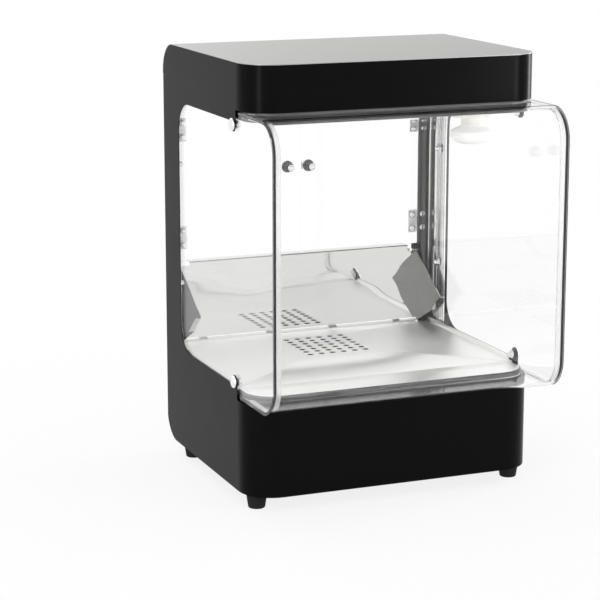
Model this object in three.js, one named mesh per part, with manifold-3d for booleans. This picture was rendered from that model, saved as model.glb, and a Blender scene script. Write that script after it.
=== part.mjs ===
// Nacho warming and display cabinet, in millimetres, +Z up, customer side facing -Y.
// The origin is on the floor, midway across the width and midway along the overall depth.
import * as THREE from 'three';
import { mergeVertices } from 'three/addons/utils/BufferGeometryUtils.js';
import Module from 'manifold-3d';

const wasm = await Module();
wasm.setup();

// Cabinet shell
const bodyWidth = 495;
const bodyDepth = 408;
const cabinetHeight = 700;
const baseHeight = 147;
const fasciaHeight = 73;
const frontCornerRadius = 54;
const rearRollRadius = 48;
const shellSheet = 1.2;
const shellBend = 2.4;
const seamLap = 2;
const coverHem = 4;
const rearSillDrop = 3;

// Fits
const fitGap = 0.3;
const paneGap = 1.5;
const cutOverrun = 5;

// Side window, cut back at the front as far as the visor's bolt ears
const windowRearInset = 78;
const windowRadius = 46;
const sillHeight = 21;
const headHeight = 18;
const frontSetback = 61;
const earRadius = 11;
const lowerEarRise = 27;
const upperEarDrop = 23;

// Rear opening, doors and flap
const postWidth = 25.5;
const flapBayHeight = 140;
const doorHeadHeight = 109;
const doorThickness = 4;
const knobLength = 22;
const knobDiameter = 20.7;
const knobDrop = 115.5;
const knobFromMiddle = 19.5;

// Glazing
const visorReach = 92;
const visorThickness = 4;
const visorBendRadius = 50;
const visorSeat = 3;
const sidePaneThickness = 5;
const sidePaneRearInset = 42.5;
const studInset = 54;
const lowerStudRise = 129;
const upperStudDrop = 125;

// Inner steelwork
const linerSheet = 0.8;
const trayRise = 15;
const traySheet = 1;
const trayFlange = 8;
const rimRadius = 50;
const rimRoll = 4;
const lipDepth = 74;
const lipStep = 0.5;
const trayWall = 25;
const ceilingWall = 29;
const ceilingDrop = 16;

// Feet
const footHeight = 25;
const footTopDiameter = 34;
const footBottomDiameter = 27;
const footSideInset = 25.5;
const frontFootInset = 44;
const rearFootInset = 64;

// Fasteners
const boltDiameter = 6;
const studDiameter = 5;
const screwDiameter = 3;
const nutAcross = 10;
const nutHeight = 5;

// Levels and planes that the sizes above fix
const halfWidth = bodyWidth / 2;
const overallDepth = visorReach + bodyDepth + fitGap + knobLength;
const rearY = overallDepth / 2 - fitGap - knobLength;
const frontY = rearY - bodyDepth;
const seamY = frontY + frontCornerRadius + seamLap;
const visorFrontY = frontY - visorReach;
const baseTop = footHeight + baseHeight;
const fasciaBottom = cabinetHeight - fasciaHeight;
const innerWall = halfWidth - shellSheet;
const innerRear = rearY - shellSheet;
const linerOuter = innerWall - fitGap;
const linerInner = linerOuter - linerSheet;
const sidePaneOuter = linerInner - fitGap;
const sidePaneInner = sidePaneOuter - sidePaneThickness;
const panSide = sidePaneInner - fitGap;
const nutSeat = sidePaneInner - fitGap;
const studTip = nutSeat - nutHeight;
const stepY = frontY + frontSetback;
const earY = stepY + earRadius;
const lowerEarZ = baseTop + lowerEarRise;
const upperEarZ = fasciaBottom - upperEarDrop;
const lowerStudZ = baseTop + lowerStudRise;
const upperStudZ = fasciaBottom - upperStudDrop;
const studY = rearY - studInset;
const paneRearY = rearY - sidePaneRearInset;
const lipTop = baseTop + trayRise;
const trayUnder = lipTop - lipStep - traySheet - fitGap;
const ceilingZ = fasciaBottom - ceilingDrop;
const openingHalf = halfWidth - postWidth;
const doorBottom = lipTop + flapBayHeight;
const doorTop = cabinetHeight - doorHeadHeight;
const knobHeight = doorTop - knobDrop;
const rearSillZ = lipTop - rearSillDrop;

// Finishes
const blackPaint = finish(0x1d1d1e, 0.45, 0.1);
const coverSteel = finish(0xc4c4c2, 0.42, 0.9);
const brushedSteel = finish(0xb4b4b2, 0.38, 1);
const polishedSteel = finish(0xdadad8, 0.12, 1);
const galvanised = finish(0x9fa3a4, 0.5, 0.9);
const chrome = finish(0xe6e6e6, 0.08, 1);
const blackPlastic = finish(0x161616, 0.35, 0);
const rubber = finish(0x1b1b1b, 0.85, 0);
const ceramic = finish(0xf0eee8, 0.5, 0);
const bulbGlass = finish(0xf4f4f2, 0.25, 0);
const elementSteel = finish(0x5c5650, 0.55, 0.8);
const clearAcrylic = finish(0xf2f6f6, 0.04, 0);
clearAcrylic.transparent = true;
clearAcrylic.opacity = 0.3;

function finish(color, roughness, metalness) {
  return new THREE.MeshStandardMaterial({ color, roughness, metalness });
}

const point = (x, y) => new THREE.Vector2(x, y);
const bothSides = [{ name: 'left', side: -1 }, { name: 'right', side: 1 }];

// Local x, y and z of an outline pushed along each axis of the cabinet
const frames = {
  x: [point3(0, 1, 0), point3(0, 0, 1), point3(1, 0, 0)],
  y: [point3(1, 0, 0), point3(0, 0, 1), point3(0, -1, 0)],
  z: [point3(1, 0, 0), point3(0, 1, 0), point3(0, 0, 1)],
};

function point3(x, y, z) {
  return new THREE.Vector3(x, y, z);
}

// An outline pushed along one axis, from one place on it to another
function extrude(axis, outline, from, to, curveSegments = 3) {
  const start = axis === 'y' ? -Math.max(from, to) : Math.min(from, to);
  const geometry = new THREE.ExtrudeGeometry(outline, {
    depth: Math.abs(to - from),
    bevelEnabled: false,
    curveSegments,
  });
  geometry.translate(0, 0, start);
  return geometry.applyMatrix4(new THREE.Matrix4().makeBasis(...frames[axis]));
}

function circle(x, y, radius) {
  return new THREE.Shape().absarc(x, y, radius, 0, Math.PI * 2);
}

function rod(axis, x, y, radius, from, to, curveSegments = 6) {
  return extrude(axis, circle(x, y, radius), from, to, curveSegments);
}

// A hole for a shaft, whose flats stay clear of it by the fit gap
function bore(axis, x, y, shaftRadius, from, to, curveSegments = 4) {
  const flatShare = Math.cos(Math.PI / (2 * curveSegments));
  return rod(axis, x, y, (shaftRadius + fitGap) / flatShare, from, to, curveSegments);
}

function rectangle(x0, y0, x1, y1, radius = 0) {
  const shape = new THREE.Shape();
  shape.moveTo(x0 + radius, y0);
  shape.lineTo(x1 - radius, y0);
  shape.absarc(x1 - radius, y0 + radius, radius, -Math.PI / 2, 0);
  shape.lineTo(x1, y1 - radius);
  shape.absarc(x1 - radius, y1 - radius, radius, 0, Math.PI / 2);
  shape.lineTo(x0 + radius, y1);
  shape.absarc(x0 + radius, y1 - radius, radius, Math.PI / 2, Math.PI);
  shape.lineTo(x0, y0 + radius);
  shape.absarc(x0 + radius, y0 + radius, radius, Math.PI, Math.PI * 1.5);
  return shape;
}

// A plan with straight sides and a straight back, and round corners at the front
function frontRoundedPlan(halfSpan, front, back, radius) {
  const shape = new THREE.Shape();
  shape.moveTo(halfSpan, back);
  shape.lineTo(-halfSpan, back);
  shape.lineTo(-halfSpan, front + radius);
  shape.absarc(radius - halfSpan, front + radius, radius, Math.PI, Math.PI * 1.5);
  shape.lineTo(halfSpan - radius, front);
  shape.absarc(halfSpan - radius, front + radius, radius, -Math.PI / 2, 0);
  return shape;
}

// The edge view of a bent sheet: corners of one face, and a thickness to the left of the run
function bentSheet(corners, thickness, bend = shellBend, steps = 4) {
  const face = [];
  const back = [];
  const origin = point(0, 0);
  const add = (place, spoke) => {
    face.push(place);
    back.unshift(place.clone().addScaledVector(spoke, thickness));
  };
  corners.forEach((corner, i) => {
    const previous = corners[i - 1] ?? corner.clone().sub(corners[i + 1]).add(corner);
    const next = corners[i + 1] ?? corner.clone().sub(previous).add(corner);
    const arrive = corner.clone().sub(previous).normalize();
    const leave = next.clone().sub(corner).normalize();
    const turn = Math.atan2(arrive.cross(leave), arrive.dot(leave));
    const spoke = point(-arrive.y, arrive.x);
    if (i === 0 || i === corners.length - 1) {
      add(corner, spoke);
      return;
    }
    const radius = turn * thickness > 0 ? bend : bend - Math.abs(thickness);
    const start = corner.clone().addScaledVector(arrive, -radius * Math.tan(Math.abs(turn) / 2));
    const centre = start.clone().addScaledVector(spoke, Math.sign(turn) * radius);
    for (let k = 0; k <= steps; k += 1) {
      const turned = spoke.clone().rotateAround(origin, (turn * k) / steps);
      add(centre.clone().addScaledVector(turned, -Math.sign(turn) * radius), turned);
    }
  });
  return new THREE.Shape([...face, ...back]);
}

function toSolid(geometry) {
  const bare = geometry.clone();
  bare.deleteAttribute('normal');
  bare.deleteAttribute('uv');
  const merged = mergeVertices(bare);
  return new wasm.Manifold(new wasm.Mesh({
    numProp: 3,
    vertProperties: merged.attributes.position.array,
    triVerts: Uint32Array.from(merged.index.array),
  }));
}

function toGeometry(solid) {
  const mesh = solid.getMesh();
  const geometry = new THREE.BufferGeometry();
  geometry.setAttribute('position', new THREE.BufferAttribute(mesh.vertProperties, mesh.numProp));
  geometry.setIndex(new THREE.BufferAttribute(mesh.triVerts, 1));
  geometry.computeVertexNormals();
  return geometry;
}

// Joins the geometries in keep, then takes away those in cut
function carve(keep, cut = []) {
  const joined = keep.map(toSolid).reduce((sum, next) => sum.add(next));
  return toGeometry(cut.map(toSolid).reduce((rest, next) => rest.subtract(next), joined));
}

function mesh(name, geometry, material) {
  const piece = new THREE.Mesh(geometry, material);
  piece.name = name;
  return piece;
}

const cabinet = new THREE.Group();

// Side panels: C-shaped round the window, bolt ears at the front, turned in at the rear post
const rollY = rearY - rearRollRadius;
const rollTop = cabinetHeight - rearRollRadius;

function sidePanelOutline() {
  const top = cabinetHeight - shellSheet - fitGap;
  const underRoll = rearRollRadius - shellSheet - fitGap;
  const windowBottom = baseTop + sillHeight;
  const windowTop = fasciaBottom - headHeight;
  const arcY = rearY - windowRearInset - windowRadius;
  const outline = new THREE.Shape();
  outline.moveTo(seamY + fitGap, footHeight);
  outline.lineTo(rollY, footHeight);
  outline.absarc(rollY, footHeight + rearRollRadius, rearRollRadius, -Math.PI / 2, 0);
  outline.lineTo(rearY, rollTop - coverHem - fitGap);
  outline.lineTo(rollY + underRoll, rollTop - coverHem - fitGap);
  outline.absarc(rollY, rollTop, underRoll, 0, Math.PI / 2);
  outline.lineTo(seamY + fitGap, top);
  outline.lineTo(seamY + fitGap, fasciaBottom);
  outline.lineTo(stepY, fasciaBottom);
  outline.absarc(earY, upperEarZ, earRadius, Math.PI, Math.PI * 2);
  outline.lineTo(earY + earRadius, windowTop);
  outline.absarc(arcY, windowTop - windowRadius, windowRadius, Math.PI / 2, 0, true);
  outline.absarc(arcY, windowBottom + windowRadius, windowRadius, 0, -Math.PI / 2, true);
  outline.lineTo(earY + earRadius, windowBottom);
  outline.absarc(earY, lowerEarZ, earRadius, 0, Math.PI);
  outline.lineTo(stepY, baseTop);
  outline.lineTo(seamY + fitGap, baseTop);
  return outline;
}

function buildSidePanel(side) {
  const plan = bentSheet([
    point(side * halfWidth, seamY + fitGap),
    point(side * halfWidth, rearY),
    point(side * openingHalf, rearY),
  ], side * shellSheet);
  const sheet = toSolid(extrude('z', plan, footHeight, cabinetHeight));
  const trimmed = sheet.intersect(toSolid(
    extrude('x', sidePanelOutline(), side * (openingHalf - cutOverrun), side * (halfWidth + cutOverrun), 6),
  ));
  const flange = rectangle(side * (openingHalf - cutOverrun), rollY, side * innerWall, rearY + cutOverrun);
  const cuts = [
    extrude('z', flange, footHeight - cutOverrun, rearSillZ + fitGap),
    extrude('z', flange, doorTop + paneGap, cabinetHeight + cutOverrun),
    ...[lowerEarZ, upperEarZ].map((z) => bore('x', earY, z, boltDiameter / 2,
      side * (innerWall - cutOverrun), side * (halfWidth + cutOverrun))),
    ...postScrewPlaces(side).map((place) => bore('y', place.x, place.y, screwDiameter / 2,
      innerRear - cutOverrun, rearY + cutOverrun, 3)),
  ];
  const studs = [lowerStudZ, upperStudZ].map((z) => rod('x', studY, z, studDiameter / 2,
    side * (innerWall + shellSheet / 2), side * studTip, 5));
  const shell = cuts.map(toSolid).reduce((rest, cut) => rest.subtract(cut), trimmed);
  return toGeometry(studs.map(toSolid).reduce((sum, stud) => sum.add(stud), shell));
}

// Door hinges: a leaf on the post and one on the door, three knuckles and a pin
const hingeHeight = 40;
const hingeLeaf = 16;
const hingeSheet = 1.2;
const barrelRadius = 3;
const pinRadius = 1.5;
const hingeX = openingHalf - paneGap / 2;
const hingeY = rearY + fitGap + barrelRadius;
const hingeFromEnd = 20;
const hingeHeights = { lower: doorBottom + hingeFromEnd, upper: doorTop - hingeFromEnd - hingeHeight };
const screwFromBarrel = 10;
const screwFromEnd = 8;

// Places of the four screws in one door's leaves, out from the barrel towards the post or the door
function hingeScrewHeights() {
  return Object.values(hingeHeights).flatMap((z) => [z + screwFromEnd, z + hingeHeight - screwFromEnd]);
}

function postScrewPlaces(side) {
  return hingeScrewHeights().map((z) => point(side * (hingeX + screwFromBarrel), z));
}

// A leaf about its pin, with its foot at zero height, reaching towards the side given
function buildHingeLeaf(reach, knuckles) {
  const plateTop = hingeSheet - barrelRadius;
  const plateEdge = barrelRadius + fitGap;
  const plate = (from, to, low, high) => extrude('z',
    rectangle(Math.min(reach * from, reach * to), -barrelRadius,
      Math.max(reach * from, reach * to), plateTop), low, high);
  const ends = knuckles.flatMap(([low, high]) => [
    rod('z', 0, 0, barrelRadius, low, high, 4),
    plate(0, plateEdge + barrelRadius, low, high),
  ]);
  const holes = [screwFromEnd, hingeHeight - screwFromEnd].map((z) => bore('y', reach * screwFromBarrel, z,
    screwDiameter / 2, -barrelRadius - cutOverrun, plateTop + cutOverrun, 3));
  return carve([plate(plateEdge, hingeLeaf, 0, hingeHeight), ...ends], holes);
}

const knuckleHeight = hingeHeight / 3;

// The post's leaf has the end knuckles, with the pin fixed in them
function buildPostLeaf(side) {
  const leaf = buildHingeLeaf(side, [
    [0, knuckleHeight - fitGap],
    [hingeHeight - knuckleHeight + fitGap, hingeHeight],
  ]);
  return carve([leaf, rod('z', 0, 0, pinRadius, -pinRadius / 2, hingeHeight + pinRadius / 2, 4)]);
}

function buildDoorLeaf(side) {
  const leaf = buildHingeLeaf(-side, [[knuckleHeight, hingeHeight - knuckleHeight]]);
  return carve([leaf], [bore('z', 0, 0, pinRadius, -cutOverrun, hingeHeight + cutOverrun)]);
}

for (const { name, side } of bothSides) {
  cabinet.add(mesh(`${name}_side_panel`, buildSidePanel(side), blackPaint));
}

// Base front and fascia: sheets wrapped round the two front corners
function buildWrap(low, high) {
  const plan = bentSheet([
    point(-halfWidth, seamY),
    point(-halfWidth, frontY),
    point(halfWidth, frontY),
    point(halfWidth, seamY),
  ], shellSheet, frontCornerRadius, 12);
  return extrude('z', plan, low, high);
}

cabinet.add(
  mesh('base_front_panel', buildWrap(footHeight, baseTop), blackPaint),
  mesh('fascia_panel', buildWrap(fasciaBottom, cabinetHeight - shellSheet - fitGap), blackPaint),
);

// Top cover: one sheet, round at the front corners and rolled down over the rear edge
function buildTopCover() {
  const profile = bentSheet([
    point(frontY, cabinetHeight),
    point(rearY, cabinetHeight),
    point(rearY, rollTop - coverHem),
  ], -shellSheet, rearRollRadius, 10);
  const plan = frontRoundedPlan(halfWidth, frontY, rearY + cutOverrun, frontCornerRadius);
  const sheet = toSolid(extrude('x', profile, -halfWidth, halfWidth));
  return toGeometry(sheet.intersect(toSolid(
    extrude('z', plan, rollTop - coverHem - cutOverrun, cabinetHeight + cutOverrun, 6),
  )));
}

cabinet.add(mesh('top_cover', buildTopCover(), coverSteel));

// Rear panels and base plate, between the side panels
const panelSide = innerWall - fitGap;
const bottomHem = 12;
const bottomHemY = rollY - bottomHem;
const inletInset = 97.5;
const heatSwitchInset = 95.5;
const switchPitch = 40;
const controlRise = 79;
const inletX = inletInset - halfWidth;
const heatSwitchX = halfWidth - heatSwitchInset;
const lightSwitchX = heatSwitchX - switchPitch;
const controlZ = footHeight + controlRise;
const inletBody = { width: 28, height: 21, depth: 24 };
const switchBody = { width: 13, height: 19.4, depth: 18 };

function controlCut(x, body) {
  const halfSpan = body.width / 2 + fitGap;
  const halfRise = body.height / 2 + fitGap;
  return extrude('y', rectangle(x - halfSpan, controlZ - halfRise, x + halfSpan, controlZ + halfRise),
    innerRear - cutOverrun, rearY + cutOverrun);
}

function buildRearBasePanel() {
  const profile = bentSheet([
    point(bottomHemY, footHeight),
    point(rearY, footHeight),
    point(rearY, rearSillZ),
  ], shellSheet, rearRollRadius, 10);
  return carve([extrude('x', profile, -panelSide, panelSide)], [
    controlCut(inletX, inletBody),
    controlCut(lightSwitchX, switchBody),
    controlCut(heatSwitchX, switchBody),
  ]);
}

function buildRearUpperPanel() {
  const outline = rectangle(-panelSide, doorTop + paneGap + fitGap, panelSide, rollTop - coverHem - fitGap);
  return extrude('y', outline, innerRear, rearY);
}

const footX = halfWidth - footSideInset;
const footYs = { front: frontY + frontFootInset, rear: rearY - rearFootInset };
const footScrewRadius = 2.2;

function buildBasePlate() {
  const outline = frontRoundedPlan(panelSide, frontY + shellSheet + fitGap, bottomHemY - fitGap,
    frontCornerRadius - shellSheet - fitGap);
  const holes = bothSides.flatMap(({ side }) => Object.values(footYs).map((y) => bore('z', side * footX, y,
    footScrewRadius, footHeight - cutOverrun, footHeight + cutOverrun)));
  return carve([extrude('z', outline, footHeight, footHeight + shellSheet, 6)], holes);
}

cabinet.add(
  mesh('rear_base_panel', buildRearBasePanel(), blackPaint),
  mesh('rear_upper_panel', buildRearUpperPanel(), blackPaint),
  mesh('base_plate', buildBasePlate(), blackPaint),
);

// Post liners: steel angles inside the rear posts, behind the side panes' rear edges
const linerShow = 2;
const linerOverlap = 24;
const linerBack = innerRear - fitGap;
const linerFace = linerBack - linerSheet;

function buildPostLiner(side) {
  const plan = bentSheet([
    point(side * linerOuter, rearY - windowRearInset + linerShow),
    point(side * linerOuter, linerBack),
    point(side * openingHalf, linerBack),
  ], side * linerSheet, shellBend - shellSheet - fitGap, 3);
  const studHoles = [lowerStudZ, upperStudZ].map((z) => bore('x', studY, z,
    studDiameter / 2, side * (linerInner - cutOverrun), side * (linerOuter + cutOverrun)));
  const screwHoles = postScrewPlaces(side).map((place) => bore('y', place.x, place.y,
    screwDiameter / 2, linerFace - cutOverrun, linerBack + cutOverrun, 3));
  const sheet = extrude('z', plan, baseTop - linerOverlap, fasciaBottom + linerOverlap);
  return carve([sheet], [...studHoles, ...screwHoles]);
}

for (const { name, side } of bothSides) {
  cabinet.add(mesh(`${name}_post_liner`, buildPostLiner(side), brushedSteel));
}

// Pans: a plate whose front and sides are rolled over into walls, round at the front corners
const rimFront = frontY + shellSheet + fitGap;

function rolledBlock(inset, back, wall) {
  const roll = rimRoll - inset;
  const outline = frontRoundedPlan(panSide - inset, rimFront + inset, back, rimRadius - inset);
  const block = new THREE.ExtrudeGeometry(outline, {
    depth: wall,
    bevelThickness: roll,
    bevelSize: roll,
    bevelOffset: -roll,
    bevelSegments: 3,
    curveSegments: 5,
  });
  return block.translate(0, 0, -wall - roll - inset);
}

function panParts(back, wall) {
  const reach = panSide + cutOverrun;
  const skirt = wall + 3 * rimRoll;
  return {
    keep: [rolledBlock(0, back + rimRadius, wall)],
    cut: [
      rolledBlock(traySheet, back + rimRadius + cutOverrun, wall + cutOverrun),
      extrude('z', rectangle(-reach, rimFront - cutOverrun, reach, back + 2 * rimRadius), -skirt, -wall),
      extrude('z', rectangle(-reach, back, reach, back + 2 * rimRadius), -skirt, cutOverrun),
    ],
  };
}

// Floor tray: flat lip with a rolled rim in front, pierced floor with side flanges behind
const holeColumns = 6;
const holeRows = 7;
const holeColumnPitch = 20.2;
const holeRowPitch = 18.1;
const holeDiameter = 11;
const holeRearInset = 58;
const lipBack = frontY + lipDepth;
const kerbInset = 9;
const kerbFace = rearY - kerbInset;
const trayBack = kerbFace - fitGap;
const trayLap = 3;

function trayHoles() {
  return Array.from({ length: holeColumns * holeRows }, (_, i) => {
    const column = i % holeColumns;
    const row = Math.floor(i / holeColumns);
    return rod('z', (column - (holeColumns - 1) / 2) * holeColumnPitch,
      rearY - holeRearInset - row * holeRowPitch, holeDiameter / 2, -cutOverrun, cutOverrun, 4);
  });
}

function buildFloorTray() {
  const lip = panParts(lipBack, trayWall);
  const floorBottom = -lipStep - traySheet;
  const section = bentSheet([
    point(-panSide, trayFlange),
    point(-panSide, floorBottom),
    point(panSide, floorBottom),
    point(panSide, trayFlange),
  ], traySheet, traySheet + fitGap, 3);
  const front = carve(lip.keep, lip.cut);
  const floor = extrude('y', section, lipBack - trayLap, trayBack);
  const nutRoom = extrude('z', rectangle(-halfWidth, lipBack - 2 * trayLap, halfWidth, earY + nutAcross),
    fitGap, trayFlange + cutOverrun);
  return carve([front, floor], [nutRoom, ...trayHoles()]).translate(0, 0, lipTop);
}

// Ceiling pan: the same rim turned up under the fascia, pierced for the lamp holder
const lampSideInset = 79.5;
const lampSetback = 93;
const lampX = halfWidth - lampSideInset;
const lampY = frontY + lampSetback;
const holderRadius = 17;

function buildCeilingPan() {
  const pan = panParts(linerFace - fitGap, ceilingWall);
  const hole = bore('z', -lampX, lampY, holderRadius, -cutOverrun, cutOverrun, 8);
  return carve(pan.keep, [...pan.cut, hole]).rotateY(Math.PI).translate(0, 0, ceilingZ);
}

cabinet.add(
  mesh('floor_tray', buildFloorTray(), polishedSteel),
  mesh('ceiling_pan', buildCeilingPan(), polishedSteel),
);

// Rails on the side panels, which carry the side panes and the tray
const railSheet = 1;
const railDrop = 28;
const railWidth = 20;
const paneBottom = baseTop + visorSeat + visorThickness + fitGap;
const paneTop = fasciaBottom - visorSeat - visorThickness - fitGap;

function buildTrayRail(side) {
  const seat = paneBottom - fitGap;
  const profile = bentSheet([
    point(side * linerInner, seat - railDrop),
    point(side * linerInner, seat),
    point(side * (linerInner - railWidth), seat),
    point(side * (linerInner - railWidth), trayUnder),
  ], side * railSheet, railSheet * 2, 3);
  return extrude('y', profile, lipBack + trayLap, paneRearY);
}

for (const { name, side } of bothSides) {
  cabinet.add(mesh(`${name}_tray_rail`, buildTrayRail(side), galvanised));
}

// Front visor: a clear sheet bent to a C, its legs cut round the rims of the tray and ceiling
const visorLegEnd = stepY - visorThickness;
const rimClearance = 0.5;

function buildVisor() {
  const profile = bentSheet([
    point(visorLegEnd, fasciaBottom - visorSeat),
    point(visorFrontY, fasciaBottom - visorSeat),
    point(visorFrontY, baseTop + visorSeat),
    point(visorLegEnd, baseTop + visorSeat),
  ], visorThickness, visorBendRadius, 12);
  const rim = frontRoundedPlan(panSide + rimClearance, rimFront - rimClearance, visorLegEnd + cutOverrun,
    rimRadius + rimClearance);
  return carve([extrude('x', profile, -sidePaneOuter, sidePaneOuter)],
    [extrude('z', rim, baseTop - cutOverrun, fasciaBottom + cutOverrun, 5)]);
}

// Side panes: inside the visor's ends at the front, between liner and tray flange at the rear
const paneRearCorner = 8;

function sidePaneOutline() {
  const front = visorFrontY + visorThickness + fitGap;
  const bend = visorBendRadius - visorThickness - fitGap;
  const corner = paneRearCorner;
  const outline = new THREE.Shape();
  outline.moveTo(front + bend, paneBottom);
  outline.absarc(paneRearY - corner, paneBottom + corner, corner, -Math.PI / 2, 0);
  outline.absarc(paneRearY - corner, paneTop - corner, corner, 0, Math.PI / 2);
  outline.absarc(front + bend, paneTop - bend, bend, Math.PI / 2, Math.PI);
  outline.absarc(front + bend, paneBottom + bend, bend, Math.PI, Math.PI * 1.5);
  return outline;
}

function buildSidePane(side) {
  const inner = side * (sidePaneInner - cutOverrun);
  const outer = side * (sidePaneOuter + cutOverrun);
  const boltHoles = [lowerEarZ, upperEarZ].map((z) => bore('x', earY, z, boltDiameter / 2,
    inner, outer));
  const studHoles = [lowerStudZ, upperStudZ].map((z) => bore('x', studY, z,
    studDiameter / 2, inner, outer));
  const pane = extrude('x', sidePaneOutline(), side * sidePaneInner, side * sidePaneOuter, 5);
  return carve([pane], [...boltHoles, ...studHoles]);
}

cabinet.add(mesh('front_visor', buildVisor(), clearAcrylic));
for (const { name, side } of bothSides) {
  cabinet.add(mesh(`${name}_side_pane`, buildSidePane(side), clearAcrylic));
}

// Ear bolts with their nuts, and cap nuts on the rear studs, all about an axis along +X
const boltHeadRadius = 10;
const boltHeadHeight = 5;

// A six-sided nut from zero towards -X, with a round flange where it bears
function nutBody() {
  return [
    rod('x', 0, 0, nutAcross * 0.7, -nutHeight / 3, 0),
    rod('x', 0, 0, nutAcross / Math.sqrt(3), -nutHeight, -nutHeight / 4, 3),
  ];
}

function buildEarBolt() {
  const grip = halfWidth + fitGap - nutSeat;
  const head = new THREE.LatheGeometry([
    point(0, -grip - nutHeight * 1.3),
    point(boltDiameter / 2, -grip - nutHeight * 1.3),
    point(boltDiameter / 2, 0),
    point(boltHeadRadius, 0),
    point(boltHeadRadius, boltHeadHeight * 0.35),
    point(boltHeadRadius * 0.8, boltHeadHeight * 0.8),
    point(boltHeadRadius * 0.45, boltHeadHeight),
    point(0, boltHeadHeight),
  ], 12).rotateZ(-Math.PI / 2);
  return carve([head, ...nutBody().map((part) => part.translate(-grip, 0, 0))]);
}

function buildCapNut() {
  const crown = rod('x', 0, 0, nutAcross * 0.42, -nutHeight * 2, -nutHeight / 2);
  return carve([...nutBody(), crown], [
    bore('x', 0, 0, studDiameter / 2, -nutHeight - fitGap, cutOverrun),
  ]);
}

const fastenerRows = [
  { place: 'lower', z: lowerEarZ, studZ: lowerStudZ },
  { place: 'upper', z: upperEarZ, studZ: upperStudZ },
];

for (const { name, side } of bothSides) {
  const turn = side > 0 ? 0 : Math.PI;
  for (const { place, z, studZ } of fastenerRows) {
    const bolt = mesh(`${name}_${place}_visor_bolt`, buildEarBolt(), chrome);
    const nut = mesh(`${name}_${place}_pane_nut`, buildCapNut(), chrome);
    bolt.rotation.z = turn;
    nut.rotation.z = turn;
    bolt.position.set(side * (halfWidth + fitGap), earY, z);
    nut.position.set(side * nutSeat, studY, studZ);
    cabinet.add(bolt, nut);
  }
}

// Feet: tapered rubber, hollow at the bottom for a screw into the base plate
const footRecessRadius = 6;
const footRecessDepth = 12;

function buildFoot() {
  const screwHole = footScrewRadius + fitGap;
  return new THREE.LatheGeometry([
    point(footRecessRadius, 0),
    point(footBottomDiameter / 2, 0),
    point(footTopDiameter / 2, footHeight - fitGap),
    point(screwHole, footHeight - fitGap),
    point(screwHole, footRecessDepth),
    point(footRecessRadius, footRecessDepth),
    point(footRecessRadius, 0),
  ], 14).rotateX(Math.PI / 2);
}

for (const { name, side } of bothSides) {
  for (const [place, y] of Object.entries(footYs)) {
    const foot = mesh(`${place}_${name}_foot`, buildFoot(), rubber);
    foot.position.set(side * footX, y, 0);
    cabinet.add(foot);
  }
}

// Lamp: a reflector bulb screwed into a ceramic holder through the ceiling
const bulbRadius = 35;
const bulbFaceHeight = 16;
const bulbShoulderRadius = 34.5;
const bulbShoulderHeight = 22;
const bulbNeckRadius = 16.5;
const bulbNeckHeight = 36;
const bulbBaseRadius = 13;
const bulbBaseLength = 26;
const holderDrop = 26.6;
const holderHeight = 42;
const holderDiscRadius = 31;
const holderDiscHeight = 11.7;

function buildBulb() {
  const dome = Array.from({ length: 5 }, (_, i) => {
    const angle = (i / 5) * (Math.PI / 2);
    return point(bulbRadius * Math.sin(angle), bulbFaceHeight * (1 - Math.cos(angle)));
  });
  const baseTop = bulbNeckHeight + bulbBaseLength;
  return new THREE.LatheGeometry([
    ...dome,
    point(bulbRadius, bulbFaceHeight),
    point(bulbShoulderRadius, bulbShoulderHeight),
    point(bulbNeckRadius, bulbNeckHeight),
    point(bulbBaseRadius, bulbNeckHeight),
    point(bulbBaseRadius, baseTop),
    point(0, baseTop),
  ], 18).rotateX(Math.PI / 2);
}

// The holder's disc seats under the ceiling, with its neck below and a stub through the bore above
function buildLampHolder() {
  const socket = (bulbBaseRadius + fitGap) / Math.cos(Math.PI / 16);
  const boreTop = holderHeight * 0.7;
  const discTop = holderDrop - fitGap;
  const discLow = discTop - holderDiscHeight;
  return new THREE.LatheGeometry([
    point(socket, 0),
    point(holderRadius, 0),
    point(holderRadius, discLow),
    point(holderDiscRadius, discLow),
    point(holderDiscRadius, discTop),
    point(holderRadius, discTop),
    point(holderRadius, holderHeight),
    point(0, holderHeight),
    point(0, boreTop),
    point(socket, boreTop),
    point(socket, 0),
  ], 16).rotateX(Math.PI / 2);
}

const holderZ = ceilingZ - holderDrop;
const bulb = mesh('lamp_bulb', buildBulb(), bulbGlass);
bulb.position.set(lampX, lampY, holderZ - bulbNeckHeight - fitGap);
const lampHolder = mesh('lamp_holder', buildLampHolder(), ceramic);
lampHolder.position.set(lampX, lampY, holderZ);
cabinet.add(bulb, lampHolder);

// Heater under the pierced floor: an open-topped box, a bent tubular element and a thermostat
const heaterMargin = 12;
const heaterCorner = 4;
const heaterDepth = 46;
const elementRadius = 4;
const elementRise = 20;
const thermostatRadius = 12;
const thermostatDepth = 10;
const heaterHalf = (holeColumns * holeColumnPitch) / 2 + heaterMargin;
const heaterBack = rearY - holeRearInset + heaterMargin;
const heaterFront = rearY - holeRearInset - (holeRows - 1) * holeRowPitch - heaterMargin;
const heaterBottom = trayUnder - heaterDepth;
const elementHalf = heaterHalf / 2;
const elementZ = heaterBottom + elementRise;

function buildHeaterBox() {
  const plan = (inset) => rectangle(inset - heaterHalf, heaterFront + inset,
    heaterHalf - inset, heaterBack - inset, heaterCorner - inset);
  const leads = bothSides.map(({ side }) => bore('y', side * elementHalf, elementZ, elementRadius,
    heaterBack - cutOverrun, heaterBack + cutOverrun));
  return carve([extrude('z', plan(0), heaterBottom, trayUnder)],
    [extrude('z', plan(traySheet), heaterBottom + traySheet, trayUnder + cutOverrun), ...leads]);
}

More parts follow.
